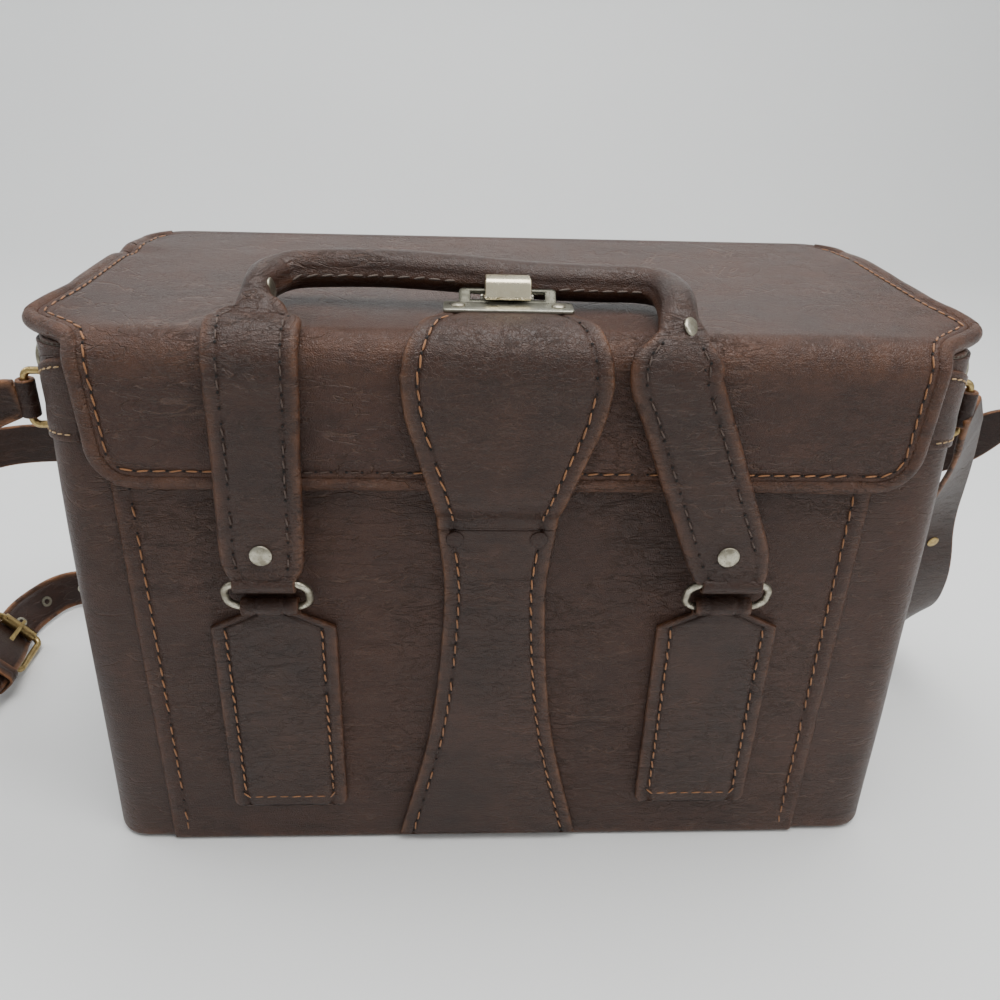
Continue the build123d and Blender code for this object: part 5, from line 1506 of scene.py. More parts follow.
@dataclass
class Tongue:
    """The tongue strap down the front, its discs, and the latch on the lid."""

    sizes: CaseSizes
    finish: Finishes
    low_t: float = 0.0024
    thick: float = 0.0033
    gap: float = 0.0004
    low_z: float = 0.0045
    low_w: float = 0.085
    waist_w: float = 0.043
    waist_z: float = 0.140
    fold_w: float = 0.0485
    wide_w: float = 0.079
    wide_z: float = 0.240
    end_w: float = 0.050
    end_y: float = -0.059
    low_seam_inset: float = 0.0062
    seam_inset: float = 0.0066
    roll_out_y: float = -0.09165
    disc_d: float = 0.0064
    disc_span: float = 0.034
    hasp_w: float = 0.050
    hasp_d: float = 0.0115
    hasp_t: float = 0.0014
    frame_w: float = 0.038
    frame_l: float = 0.007
    frame_tilt: float = radians(38.0)
    slot_w: float = 0.029
    slot_l: float = 0.0036
    rivet_d: float = 0.0054
    rivet_span: float = 0.0385
    clip_w: float = 0.018
    clip_t: float = 0.0012
    clip_rise: float = 0.013
    clip_lip: float = 0.0095
    pin_r: float = 0.0012
    ear_r: float = 0.0024
    catch_w: float = 0.030
    catch_t: float = 0.0013
    bend_length: float = 0.070

    def build(self) -> None:
        """Builds the tongue and the latch."""
        self.lower()
        self.discs()
        self.upper()
        self.hasp()
        self.catch()
        self.clip()

    def lower(self) -> None:
        """The lower half, sewn down: a strap whose edges sweep in to the waist and out to the base."""
        s = self.sizes
        low, waist = self.low_w, self.waist_w
        z = np.array([self.low_z, (self.low_z + self.waist_z) / 2, self.waist_z, s.fold_z])
        rows = spline(stack(s.tongue_x, 0.0, z, [low, waist + 0.28 * (low - waist), waist, self.fold_w]), 220)
        path, width = rows[:, :3], rows[:, 3]
        thick = self.low_t + (self.thick - self.low_t) * smoothstep(path[:, 2], self.waist_z, s.fold_z)
        path[:, 1] = s.front_y - thick / 2
        shell = strap(path, X_AXIS, width, thick, 0.0007, self.low_seam_inset, 0.0003, (True, False))
        put("tongue_base_leather", shell, self.finish.tongue, "case", "leather_strap", "tongue_base")
        seam = Seam("tongue_base_stitches", "case", "leather_strap", self.finish, Thread.ORANGE, 0.0066)
        keep = (path[:, 2] > self.low_z + 0.002) & (path[:, 2] < s.fold_z - 0.010)
        for sign in (-1, 1):
            aside = stack(sign * (width / 2 - self.low_seam_inset), 0.0003 - thick / 2, 0.0)
            seam.add((path + aside)[keep], -Y_AXIS)
        seam.sew(0.03).dig()

    def discs(self) -> None:
        """The two leather-covered discs at the fold."""
        s = self.sizes
        y, z = s.front_y - self.thick + 0.0003, s.fold_z - self.disc_d / 2 - 0.001
        places = ((s.tongue_x + sign * self.disc_span / 2, y, z) for sign in (-1, 1))
        left, right = (rivet(self.disc_d + 0.0008, 0.0014, 0.5, place, -Y_AXIS, 24) for place in places)
        put("tongue_discs_leather", left.join(right), self.finish.strap, "case", "leather_strap", "tongue_discs")

    def flare(self, z: float) -> float:
        """The upper half's width at a height: an S curve from the fold to its widest."""
        return self.fold_w + (self.wide_w - self.fold_w) * float(smoothstep(z, self.sizes.fold_z, self.wide_z))

    def upper_rows(self) -> Array:
        """The upper half's middle line and width: up the flap, over the nose and along the lid."""
        s = self.sizes
        y_front = self.roll_out_y - self.gap - self.thick / 2
        y_low, z_top = s.front_y - self.thick / 2, s.lid_top_z + self.gap + self.thick / 2
        nose_z = s.lid_top_z - s.nose_r
        r = z_top - nose_z
        centre_y = y_front + r
        third = (self.wide_z - s.flap_low_z) / 3
        flared = [(y_low - 0.002, s.fold_z + 0.007), (y_front, s.flap_low_z - 0.005)]
        flared += [(y_front, s.flap_low_z + third), (y_front, s.flap_low_z + 2 * third)]
        around = lambda angle, less: (centre_y - r * cos(angle), nose_z + r * sin(angle), self.wide_w - less)
        rows = [
            (y_low, s.fold_z, self.fold_w),
            (y_low, s.fold_z + 0.002, self.fold_w + 0.0006),
            *((y, z, self.flare(z)) for y, z in flared),
            (y_front, self.wide_z, self.wide_w),
            (y_front, nose_z, self.wide_w - 0.0006),
            around(pi / 6, 0.003),
            around(pi / 3, 0.008),
            (centre_y, z_top, self.wide_w - 0.014),
            (self.end_y - self.hasp_d, z_top, self.end_w + 0.003),
            (self.end_y, z_top, self.end_w - 0.004),
        ]
        line = spline(np.array([(s.tongue_x, *row) for row in rows]), 260)
        line[:, 0] += s.latch_shift * smoothstep(np.linspace(0, 1, len(line)), 0.0, 1.0)
        return line

    def upper(self) -> None:
        """The free half of the tongue, with its stitches."""
        rows = self.upper_rows()
        fold_z, y = self.sizes.fold_z, self.sizes.front_y - self.thick / 2
        bend = Bend("case", "tongue_strap", (0.0, y, fold_z), (0.0, y, fold_z + self.bend_length))
        path, width = rows[:, :3], rows[:, 3]
        path[:, 2] = np.maximum(path[:, 2], fold_z)
        shell = strap(path, X_AXIS, width, self.thick, 0.0008, self.seam_inset, 0.0005, (False, True))
        put("tongue_leather", shell, self.finish.tongue, bend, "leather_strap", "tongue")
        _, side, normal = frames(path, X_AXIS)
        seam, worn = (
            Seam(name, bend, "leather_strap", self.finish, thread, 0.0064)
            for name, thread in (("tongue_stitches", Thread.ORANGE), ("tongue_worn_stitches", Thread.DARK))
        )
        flap = path[:, 2] < 0.238
        keep = (path[:, 2] > fold_z + 0.004) & (path[:, 1] < self.end_y - self.hasp_d - 0.003)
        for sign, upper_seam in ((-1, seam), (1, worn)):
            aside = side * (sign * (width / 2 - self.seam_inset))[:, None] + normal * (self.thick / 2 - 0.0003)
            for owner, part in ((seam, keep & flap), (upper_seam, keep & ~flap)):
                owner.add((path + aside)[part], normal[part])
        seam.sew(0.04)
        worn.sew(0.55)
        seam.lines += worn.lines
        seam.dig()

    def hasp(self) -> None:
        """The riveted plate at the tongue's end, and the slotted frame turned up behind it."""
        s, finish = self.sizes, self.finish
        x, y, z = s.latch_x, self.end_y - self.hasp_d, s.lid_top_z + self.gap + self.thick
        top = z + self.hasp_t
        plate = slab(rectangle(x - self.hasp_w / 2, y, x + self.hasp_w / 2, self.end_y, 0.0016, 6), z, top)
        places = ((x + sign * self.rivet_span / 2, y + self.hasp_d / 2, top) for sign in (-1, 1))
        left, right = (rivet(self.rivet_d, 0.0011, 0.15, place, Z_AXIS) for place in places)
        put("hasp_plate_metal", plate, finish.plate, "tongue_strap", "nickel", "hasp_plate")
        put("hasp_frame_metal", self.frame(x, z), finish.frame, "tongue_strap", "nickel")
        put("hasp_rivet_heads", left.join(right), finish.nickel, "tongue_strap", "nickel", "hasp_rivets")

    def frame(self, x: float, z0: float) -> Shell:
        """The slotted frame: a flat plate with a window, tilted up from the hasp plate's back edge.

        The plate's outer and inner outlines have the same points, and its surface runs over eight rows, from
        the outer edge's top round the outside and underneath to the slot's edge and back over the top.

        Args:
            x: the middle.
            z0: the underside of the hasp plate.

        Returns:
            The frame.
        """
        outer_w, slot_w, bar, high = self.frame_w / 2, self.slot_w / 2, (self.frame_l - self.slot_l) / 2, self.frame_l
        outer = rectangle(-outer_w, -0.0012, outer_w, high, 0.0014, 6)
        inner = rectangle(-slot_w, bar, slot_w, high - bar, 0.0007, 6)
        edge, thick, middle = 0.0002, self.hasp_t, np.array([0.0, high / 2])
        block = [(edge, thick), (0.0, thick - edge), (0.0, edge), (edge, 0.0)]
        rows = []
        for outline, way, steps in ((outer, 1.0, block), (inner, -1.0, block[::-1])):
            pull = unit(middle - outline) * way
            rows += [stack(*(outline + pull * inset).T, h) for inset, h in steps]
        grid = np.stack(rows)
        u, v, h = np.moveaxis(grid, -1, 0)
        c, n = cos(self.frame_tilt), sin(self.frame_tilt)
        verts = stack(x + u, self.end_y + v * c - (h - edge) * n, z0 + v * n + h * c)
        return Shell(verts.reshape(-1, 3), [grid_quads(*grid.shape[:2], True, True)]).outward()

    def pin_place(self) -> Array:
        """Where the catch's pin runs, as (y, z)."""
        y = self.end_y + self.frame_l * cos(self.frame_tilt) + self.pin_r + 0.0002
        return np.array([y, self.sizes.lid_top_z + self.catch_t + self.pin_r + self.clip_t + 0.0003])

    def catch(self) -> None:
        """The catch's base with two ears, and the pin through them."""
        s, x = self.sizes, self.sizes.latch_x
        y, z = pin = self.pin_place()
        y0, y1, half = self.end_y + self.gap, y + self.pin_r + self.clip_t, self.catch_w / 2
        plate = slab(rectangle(x - half, y0, x + half, y1, 0.0008, 5), s.lid_top_z, s.lid_top_z + self.catch_t)
        turn, foot = np.linspace(0, pi, 12), s.lid_top_z + 0.0005
        arch = pin + self.ear_r * stack(np.cos(turn), np.sin(turn))
        outline = np.vstack([[y + self.ear_r, foot], arch, [y - self.ear_r, foot]])
        ears = []
        for sign in (-1, 1):
            low, high = sorted(x + sign * (self.clip_w / 2 + off) for off in (0.0002, 0.00145))
            ear = slab(outline, low, high, 0.00015)
            ear.verts = ear.verts[:, [2, 0, 1]]
            ears.append(ear.outward())
        put("catch_base_metal", plate.join(*ears), self.finish.plate, "lid", "nickel", "catch_base")
        reach = self.clip_w / 2 + 0.0016
        rod = tube(stack(np.linspace(x - reach, x + reach, 8), y, z), self.pin_r, columns=16, across=Z_AXIS)
        put("catch_pin_metal", rod, self.finish.nickel, "lid", "nickel", "catch_pin")

    def clip(self) -> None:
        """The bright clip: a leaf of sheet metal that rises from its barrel and folds over the frame."""
        s, t = self.sizes, self.clip_t
        y, z = pin = self.pin_place()
        top, lip = s.lid_top_z + self.clip_rise + self.catch_t, y - self.clip_lip
        barrel = self.pin_r + 0.00005 + t / 2
        corners = [(y + barrel, z), (y + barrel - 0.0001, top - 0.0010), (lip + 0.0014, top - t / 2)]
        line = evenly(rounded([*corners, (lip - 0.0003, top - 0.0077)], [0, 0.0022, 0.0018, 0]), 70)
        width = self.clip_w * (1 - 0.03 * np.sin(np.linspace(0, pi, 70)))
        leaf = strap(stack(s.latch_x, *line.T), X_AXIS, width, t, crown=0.0)
        curl = band(stack(s.latch_x, *(pin + barrel * circle(40)).T), X_AXIS, self.clip_w, t)
        put("clip_metal", leaf.join(curl), self.finish.clip, "clip", "brass", "catch_clip")


@dataclass
class Handle:
    """The handle: sewn tabs, rings, and two straps that fold round into one rolled grip."""

    sizes: CaseSizes
    finish: Finishes
    ring_x: tuple[float, float] = (-0.099, 0.0915)
    wire_r: float = 0.0016
    ring_w: float = 0.0374
    ring_corner_r: float = 0.0066
    low: tuple[float, float] = (-0.0885, 0.1392)
    high: tuple[float, float] = (-0.09475, 0.154254)
    loop_t: float = 0.002
    loop_w: float = 0.024
    tab_t: float = 0.003
    tab_w: float = 0.053
    tab_low_z: float = 0.0245
    tab_shoulder_z: float = 0.127
    tab_neck_z: float = 0.134
    tab_seam_inset: float = 0.0062
    strap_t: float = 0.0046
    low_w: float = 0.0252
    mid_w: float = 0.0335
    top_x: tuple[float, float] = (-0.0965, 0.058)
    top_w: tuple[float, float] = (0.0345, 0.033)
    grip_r: float = 0.0075
    rivet_x: tuple[float, float] = (-0.0987, 0.0875)
    rivet_z: float = 0.169
    rivet_d: float = 0.009
    neck_rivet_d: float = 0.0084
    seam_inset: float = 0.0060
    seam_pitch: float = 0.0060
    ridge: float = radians(12)
    latch_half: float = 0.0195

    def build(self) -> None:
        """Builds every piece of the handle."""
        for index, side in enumerate(Side):
            self.tab(self.ring_x[index], side)
            self.ring(self.ring_x[index], side)
        self.leather()

    def tab(self, x: float, side: Side) -> None:
        """A sewn tab: a plate with cut shoulders, and a loop folded round the ring's lower bar.

        Args:
            x: its middle.
            side: which of the two.
        """
        s, half, neck, (low_y, low_z) = self.sizes, self.tab_w / 2, self.loop_w / 2, self.low
        foot = self.tab_low_z + np.concatenate([[0.0, 0.0006, 0.0018, 0.004], np.linspace(0.005, 0.1015, 60)])
        z = np.concatenate([foot, np.linspace(self.tab_shoulder_z, self.tab_neck_z, 10), [low_z - 0.002]])
        narrowing = np.interp(z, [self.tab_shoulder_z, self.tab_neck_z], [half, neck])
        flat_width = narrowing - corner_cut(z - self.tab_low_z, 0.004)
        path = stack(x, s.front_y - self.tab_t / 2 + 0.0001, z)
        turn, r = np.linspace(-radians(60), radians(250), 44), self.wire_r + 0.0003 + self.loop_t / 2
        loop = stack(x, low_y - r * np.cos(turn), low_z + r * np.sin(turn))
        width = 2 * np.concatenate([flat_width, np.full(44, neck)])
        thin = np.linspace(self.tab_t, self.loop_t, 8)
        thick = np.concatenate([np.full(len(z) - 8, self.tab_t - 0.0002), thin, np.full(44, self.loop_t)])
        shell = strap(np.vstack([path, loop]), X_AXIS, width, thick, 0.0007, self.tab_seam_inset, 0.0002)
        names = f"tab_leather_{side.label}", f"front_tab_{side.label}"
        put(names[0], shell, self.finish.strap, "case", "leather_strap", names[1])
        seam = Seam(f"tab_stitches_{side.label}", "case", "leather_strap", self.finish, Thread.ORANGE, 0.0058)
        inner, y = half - self.tab_seam_inset, s.front_y - self.tab_t + 0.0003
        low, high = self.tab_low_z + self.tab_seam_inset, self.tab_shoulder_z - 0.0005
        corners = [(x - inner, y, high), (x - inner, y, low), (x + inner, y, low), (x + inner, y, high)]
        seam.add(evenly(rounded(corners, [0, 0.002, 0.002, 0]), 240), -Y_AXIS)
        seam.sew(0.02).dig()

    def ring(self, x: float, side: Side) -> None:
        """A handle ring: round wire on a rounded rectangle that leans out from tab to strap.

        Args:
            x: its middle.
            side: which of the two.
        """
        a, b = np.array([x, *self.low]), np.array([x, *self.high])
        up, half_h, half_w = unit(b - a), np.linalg.norm(b - a) / 2, self.ring_w / 2 - self.wire_r
        flat = rectangle(-half_w, -half_h, half_w, half_h, self.ring_corner_r, 12)
        path = (a + b) / 2 + flat[:, :1] * X_AXIS + flat[:, 1:] * up
        shell = tube(path, self.wire_r, closed=True, columns=18, across=np.cross(X_AXIS, up))
        body, node = f"ring_{side.label}", f"handle_ring_{side.label}"
        put(f"handle_ring_metal_{side.label}", shell, self.finish.nickel, body, "nickel", node)

    def strap_stations(self, index: int) -> list[tuple[float, ...]]:
        """One strap from its ring up over the lid's front, by listed stations.

        Args:
            index: 0 for the left strap, 1 for the right.

        Returns:
            The place, half width, half height and roundness of each station.
        """
        s, (y, _), t = self.sizes, self.high, self.strap_t / 2
        r = s.nose_r + 0.0031
        centre_z = s.lid_top_z + 0.0031 - r
        low, top = self.ring_x[index], self.top_x[index]
        rise = lambda z: low + (top - low) * min(max((z - 0.159) / (centre_z - 0.159), 0), 1)
        around = lambda deg: (y + r * (1 - cos(radians(deg))), centre_z + r * sin(radians(deg)))
        heights = ((0.1555, self.low_w), (0.1585, 0.029), (0.164, 0.0325), (0.172, self.mid_w), (0.19, self.mid_w),
                   (0.212, self.mid_w), (0.232, self.top_w[index]))
        if index == 0:
            drift = 0.0
            curve = ((0, 0.0345, 0.0), (28, 0.0348, 0.0), (56, 0.0350, 0.0), (78, 0.0352, 0.0), (86, 0.0300, 0.0))
            neck = ((-0.0962, -0.0752, 0.2606, 0.0112, 0.0034, 0.3), (-0.0975, -0.0700, 0.2630, 0.0072, 0.0054, 0.75),
                    (-0.0978, -0.0620, 0.2652, 0.0056, 0.0072, 1.0))
        else:
            drift = 0.0025
            curve = ((0, 0.0338, 0.0), (20, 0.0342, 0.0), (34, 0.0300, 0.0), (48, 0.0236, 0.15), (64, 0.0190, 0.35))
            neck = ((0.0604, -0.0800, 0.2602, 0.0080, 0.0052, 0.75), (0.0612, -0.0725, 0.2625, 0.0072, 0.0068, 1.0))
        rows = [(rise(z), y, z, w / 2, t, 0.0) for z, w in heights]
        rows += [(top + drift * deg / 64, *around(deg), w / 2, t * (1 + 0.5 * m), m) for deg, w, m in curve]
        return [*rows, *neck]

    def grip_stations(self) -> list[tuple[float, ...]]:
        """The rolled grip's stations between the necks, as listed."""
        places = (
            (-0.0960, -0.0520, 0.2664), (-0.0915, -0.0440, 0.2670), (-0.0815, -0.0408, 0.2682),
            (-0.0510, -0.0425, 0.2692), (-0.0200, -0.0422, 0.2675), (0.0080, -0.0412, 0.2652),
            (0.0350, -0.0406, 0.2642), (0.0500, -0.0416, 0.2644), (0.0585, -0.0470, 0.2645),
            (0.0615, -0.0560, 0.2642), (0.0618, -0.0650, 0.2636),
        )
        return [(*place, self.grip_r, self.grip_r, 1.0) for place in places]

    def section(self, half: Array, height: Array, roundness: Array) -> tuple[Array, Array]:
        """The cross-section along the handle, from a flat stitched strap to a tube with a sewn ridge.

        The tube's points are an ellipse, walked in step with the strap's outline, whose radius swells by a
        bell at the ridge. Each row is the mean of the two outlines, weighted by its roundness.

        Args:
            half: half the width at each row.
            height: half the height at each row.
            roundness: 0 for the flat strap and 1 for the tube.

        Returns:
            The profile of each row and its wear.
        """
        flat, wear = strap_profile(half, 2 * height, 0.0005, self.seam_inset, 0.0005)
        step = np.linalg.norm(np.diff(flat[0], axis=0, append=flat[0, :1]), axis=1)
        angle = radians(168) - 2 * pi * np.concatenate([[0], np.cumsum(step)[:-1]]) / step.sum()
        turn = (angle + radians(14) + pi) % (2 * pi) - pi
        swell = 1 + 0.10 * bump(turn, 0.0, 0.22) - 0.035 * bump(turn, 0.45, 0.14)
        rolled = stack(np.cos(angle) * swell, np.sin(angle) * swell) * stack(half, height)[:, None, :]
        m = roundness[:, None]
        return flat * (1 - m[..., None]) + rolled * m[..., None], wear * (1 - m) + 0.5 * bump(turn, 0.0, 0.3) * m

    def leather(self) -> None:
        """Both straps and the grip, one hide from ring to ring, with loops, stitches and rivets."""
        left, right, grip = self.strap_stations(0), self.strap_stations(1), self.grip_stations()
        ways = [(1.0, 0.0, 0.0)] * (len(left) + 1) + [(0.8, -0.6, 0.0)] + [(0.0, -1.0, 0.0)] * (len(grip) - 5)
        ways += [(-0.5, -0.8, 0.0), (-0.9, -0.4, 0.0)] + [(-1.0, 0.0, 0.0)] * (len(right) + 1)
        line = spline(np.hstack([np.array(left + grip + right[::-1]), np.array(ways)]), 760)
        path, half, height = line[:, :3], line[:, 3], line[:, 4]
        roundness = np.clip(line[:, 5], 0, 1)
        _, side, normal = frames(path, line[:, 6:9])
        profile, wear = self.section(half, height, roundness)
        uneven = 1 + 0.012 * ripple(path, 0.03, 9) * roundness
        shell = carry(path, side, normal, profile * uneven[:, None, None], wear=wear)
        names = [f"handle_{part}_{end.label}" for part in ("strap", "neck") for end in Side]
        shell = shell.join(*(self.loop(x) for x in self.ring_x))
        put("handle_leather", shell, self.finish.strap, "handle", "leather_strap", *names, "handle_grip", "grip_core")
        surface = path[:, None] + side[:, None] * profile[..., :1] + normal[:, None] * profile[..., 1:]

        seam = Seam("strap_stitches", "handle", "leather_strap", self.finish, Thread.DARK, self.seam_pitch)
        flat = (roundness < 0.08) & (path[:, 2] > self.high[1] + 0.008)
        for keep in (flat & (path[:, 0] < 0), flat & (path[:, 0] > 0)):
            for column in (STITCH_LINE, 2 * len(STITCH_REACH) - 1 - STITCH_LINE):
                seam.add((surface[:, column] + normal * 0.0003)[keep], normal[keep])
        seam.sew(0.50).dig()
        share = np.array([cos(self.ridge), sin(self.ridge)])
        out = side * share[0] + normal * share[1]
        column = int(np.argmax(profile[len(profile) // 2] @ share))
        rolled = (roundness > 0.99) & (path[:, 0] > -0.094) & (path[:, 0] < 0.058)
        seam = Seam("grip_stitches", "handle", "leather_strap", self.finish, Thread.GRIP, self.seam_pitch)
        for sign in (-1, 1):
            keep = rolled & (sign * (path[:, 0] - self.sizes.latch_x) > self.latch_half)
            seam.add((surface[:, column] + out * 0.0002)[keep], out[keep])
        seam.sew()
        self.rivets(surface)

    def loop(self, x: float) -> Shell:
        """The strap's end folded round the ring's upper bar."""
        r = self.wire_r + 0.0003 + self.loop_t / 2
        return band(stack(x, *(self.high + r * circle(40)).T), X_AXIS, self.low_w, self.loop_t)

    def rivets(self, surface: Array) -> None:
        """The rivet above each ring, and the one in each neck's flank.

        Args:
            surface: the leather's points, by row and column.
        """
        face_y = self.high[0] - self.strap_t / 2 - 0.0004
        heads = [("strap", (x, face_y, self.rivet_z), -Y_AXIS, self.rivet_d, 0.0014) for x in self.rivet_x]
        for near, way in (
            ((-0.0925, -0.0625, 0.2655), (1.0, -0.1, 0.15)),
            ((0.0640, -0.0865, 0.2600), (0.60, -0.55, 0.58)),
        ):
            gap = np.linalg.norm(surface - near, axis=-1)
            place = surface[np.unravel_index(int(np.argmin(gap)), gap.shape)] - unit(np.array(way)) * 0.0006
            heads.append(("neck", place, way, self.neck_rivet_d, 0.0013))
        for (part, place, way, diameter, height), end in zip(heads, [*Side, *Side]):
            node = f"{part}_rivet_{end.label}"
            shell = rivet(diameter, height, 0.3, place, way, 36)
            put(f"{part}_rivet_metal_{end.label}", shell, self.finish.nickel, "handle", "nickel", node)


@dataclass
class Sling:
    """The shoulder strap: buckle half, long half, eyelets, rivets, keeper and buckle."""

    sizes: CaseSizes
    finish: Finishes
    width: float = 0.024
    neck_w: float = 0.0166
    thick: float = 0.0026
    floor: float = 0.0004
    start_x: float = 0.199
    start_y: float = -0.0461
    ring_z: float = 0.214
    loop_r: float = 0.0039
    loop_t: float = 0.0019
    bar_x: float = -0.292
    bar_y: float = 0.0719
    bar_z: float = 0.014438
    fixed_y: float = 0.0419
    wire_r: float = 0.0019
    over: float = 0.0048
    tail_z: float = 0.131
    floor_y: float = 0.1045
    lean_y: float = 0.0883
    rivet_d: float = 0.0065
    keeper_y: float = 0.0259
    keeper_w: float = 0.009
    keeper_t: float = 0.0016
    slot_w: float = 0.0048
    bend_start_z: float = 0.205
    leaning: tuple[float, float, float] = (-0.7, 0.0, 0.714)

    def build(self) -> None:
        """Builds every piece of the sling; the buckle and the eyelets keep their CAD shapes."""
        self.half(Side.LEFT, self.left_rows(), "sling_left", 0.030, 0.160, "sling_rivets")
        self.half(Side.RIGHT, self.long_rows(), "sling_long", 0.118, 0.184)
        self.fold()
        self.keeper()
        for part in ("frame", "roller", "prong"):
            dress(f"buckle_{part}", self.finish.brass)
        dress("sling_eyelets", self.finish.nickel)

    def off_buckle(self, y: float, out: float) -> tuple[float, float, float]:
        """A point beside the buckle: y along the strap, out from its middle towards the viewer."""
        return self.bar_x + 0.714 * out, y, self.bar_z + 0.7 * out

    def left_rows(self) -> Array:
        """The buckle half's stations, listed: place, direction across, width."""
        x, y, z, top = -self.start_x - self.loop_r + 0.0006, self.start_y, self.floor + self.width / 2, self.ring_z
        rows = [
            ((x, y, top), (0, 0, 1), self.neck_w),
            ((x - 0.020, y - 0.004, top - 0.004), (0, 0.15, 1)),
            ((x - 0.042, y - 0.014, top - 0.019), (0.1, 0.5, 0.85)),
            ((x - 0.062, y - 0.028, top - 0.054), (0.1, 0.85, 0.45)),
            ((x - 0.078, y - 0.038, top - 0.104), (0.2, 1, 0.1)),
            ((x - 0.089, y - 0.036, top - 0.152), (0.1, 1, 0.2)),
            ((x - 0.095, y - 0.020, z + 0.018), (-0.3, 0.75, 0.6)),
            ((x - 0.096, y + 0.004, z + 0.004), (-0.6, 0.3, 0.7)),
            (self.off_buckle(self.fixed_y - 0.036, 0), self.leaning),
            (self.off_buckle(self.fixed_y - 0.018, 0), self.leaning),
            (self.off_buckle(self.fixed_y - 0.012, 0), self.leaning),
        ]
        return self.stations(rows)

    def long_rows(self) -> Array:
        """The long half's stations, listed: place, direction across, width."""
        near, y, top = self.start_x + self.loop_r - 0.0006, self.start_y, self.ring_z
        z, half = self.floor + self.width / 2, self.sizes.width / 2
        bar, bar_y, fixed, back, lean_y = self.bar_x, self.bar_y, self.fixed_y, self.floor_y, self.lean_y
        up, w, tail, lean = (0, 0, 1), self.width, self.tail_z, self.leaning
        rows = [
            ((near, y, top), up, self.neck_w),
            ((near + 0.010, y + 0.012, top - 0.022), (0.2, 0, 1)),
            ((near + 0.021, y + 0.034, top - 0.055), (0.7, 0.2, 0.6)),
            ((near + 0.031, y + 0.056, top - 0.090), (0.95, 0.1, 0.3)),
            ((near + 0.042, y + 0.064, top - 0.125), (1, 0, 0.25)),
            ((near + 0.051, y + 0.080, top - 0.160), (0.95, 0.1, 0.35)),
            ((near + 0.054, y + 0.102, z + 0.016), (0.7, 0.3, 0.7)),
            ((near + 0.042, y + 0.126, z + 0.003), (0.2, 0.2, 1)),
            ((near + 0.014, back + 0.008, z), up),
            ((half - 0.020, back + 0.004, z), up),
            ((half / 3, back, z), up),
            ((-half / 3, back, z), up),
            ((-half + 0.010, back + 0.004, z), up),
            ((-half - 0.040, back + 0.013, z), up),
            ((-half - 0.078, back + 0.020, z), (-0.15, 0, 1)),
            ((bar + 0.010, bar_y + 0.044, z + 0.001), (-0.35, 0.1, 1)),
            (self.off_buckle(bar_y + 0.020, -self.over), lean),
            (self.off_buckle(bar_y + 0.001, -self.over - 0.0024), lean),
            (self.off_buckle(fixed, 2 * self.over), lean),
            (self.off_buckle(fixed - 0.026, self.over), lean),
            ((bar + 0.002, fixed - 0.048, z + 0.013), (-0.5, 0.1, 0.85)),
            ((bar - 0.008, fixed - 0.066, z + 0.030), (-0.3, 0.2, 1)),
            ((bar - 0.027, fixed - 0.068, z + 0.050), (0, 0.3, 1)),
            ((bar - 0.040, fixed - 0.048, z + 0.073), (0.2, 0.3, 1)),
            ((bar - 0.038, fixed - 0.012, tail - 0.024), (0.2, 0.2, 1)),
            ((bar - 0.020, fixed + 0.026, tail - 0.009), (0.1, 0.1, 1)),
            ((bar + 0.004, lean_y + 0.004, tail - 0.001), up),
            ((-half - 0.040, lean_y + 0.005, tail + 0.001), up),
            ((-half + 0.014, lean_y, tail), up),
            ((half - 0.014, lean_y, tail - 0.006), up),
            ((half + 0.022, lean_y - 0.002, tail - 0.007), up),
            ((half + 0.054, lean_y - 0.018, tail), (-0.3, 0, 1)),
            ((half + 0.080, lean_y - 0.036, tail + 0.020), (-0.4, 0.1, 1)),
            ((half + 0.095, lean_y - 0.044, tail + 0.038), (-0.4, 0.1, 1), w * 0.85),
            ((half + 0.102, lean_y - 0.047, tail + 0.048), (-0.4, 0.1, 1), w * 0.2),
        ]
        return self.stations(rows)

    def stations(self, rows: list[tuple]) -> Array:
        """The stations with each corner turned on a quadratic curve, which keeps each run's middle straight.

        Args:
            rows: the place, the direction across and, where it isn't the strap's, the width of each station.

        Returns:
            Closely spaced rows of place, direction and width.
        """
        rows = np.array([(*place, *across, *(size or (self.width,))) for place, across, *size in rows], float)
        share, spacing, here = 0.42, 0.0028, rows[1:-1, None, :]
        before, after = (here + (other[:, None, :] - here) * share for other in (rows[:-2], rows[2:]))
        t = np.linspace(0, 1, 12)[None, :, None]
        curve = (1 - t) ** 2 * before + 2 * t * (1 - t) * here + t**2 * after
        line = np.vstack([rows[:1], curve.reshape(-1, rows.shape[1]), rows[-1:]])
        return evenly(line, int(lengths(line)[-1] / spacing))

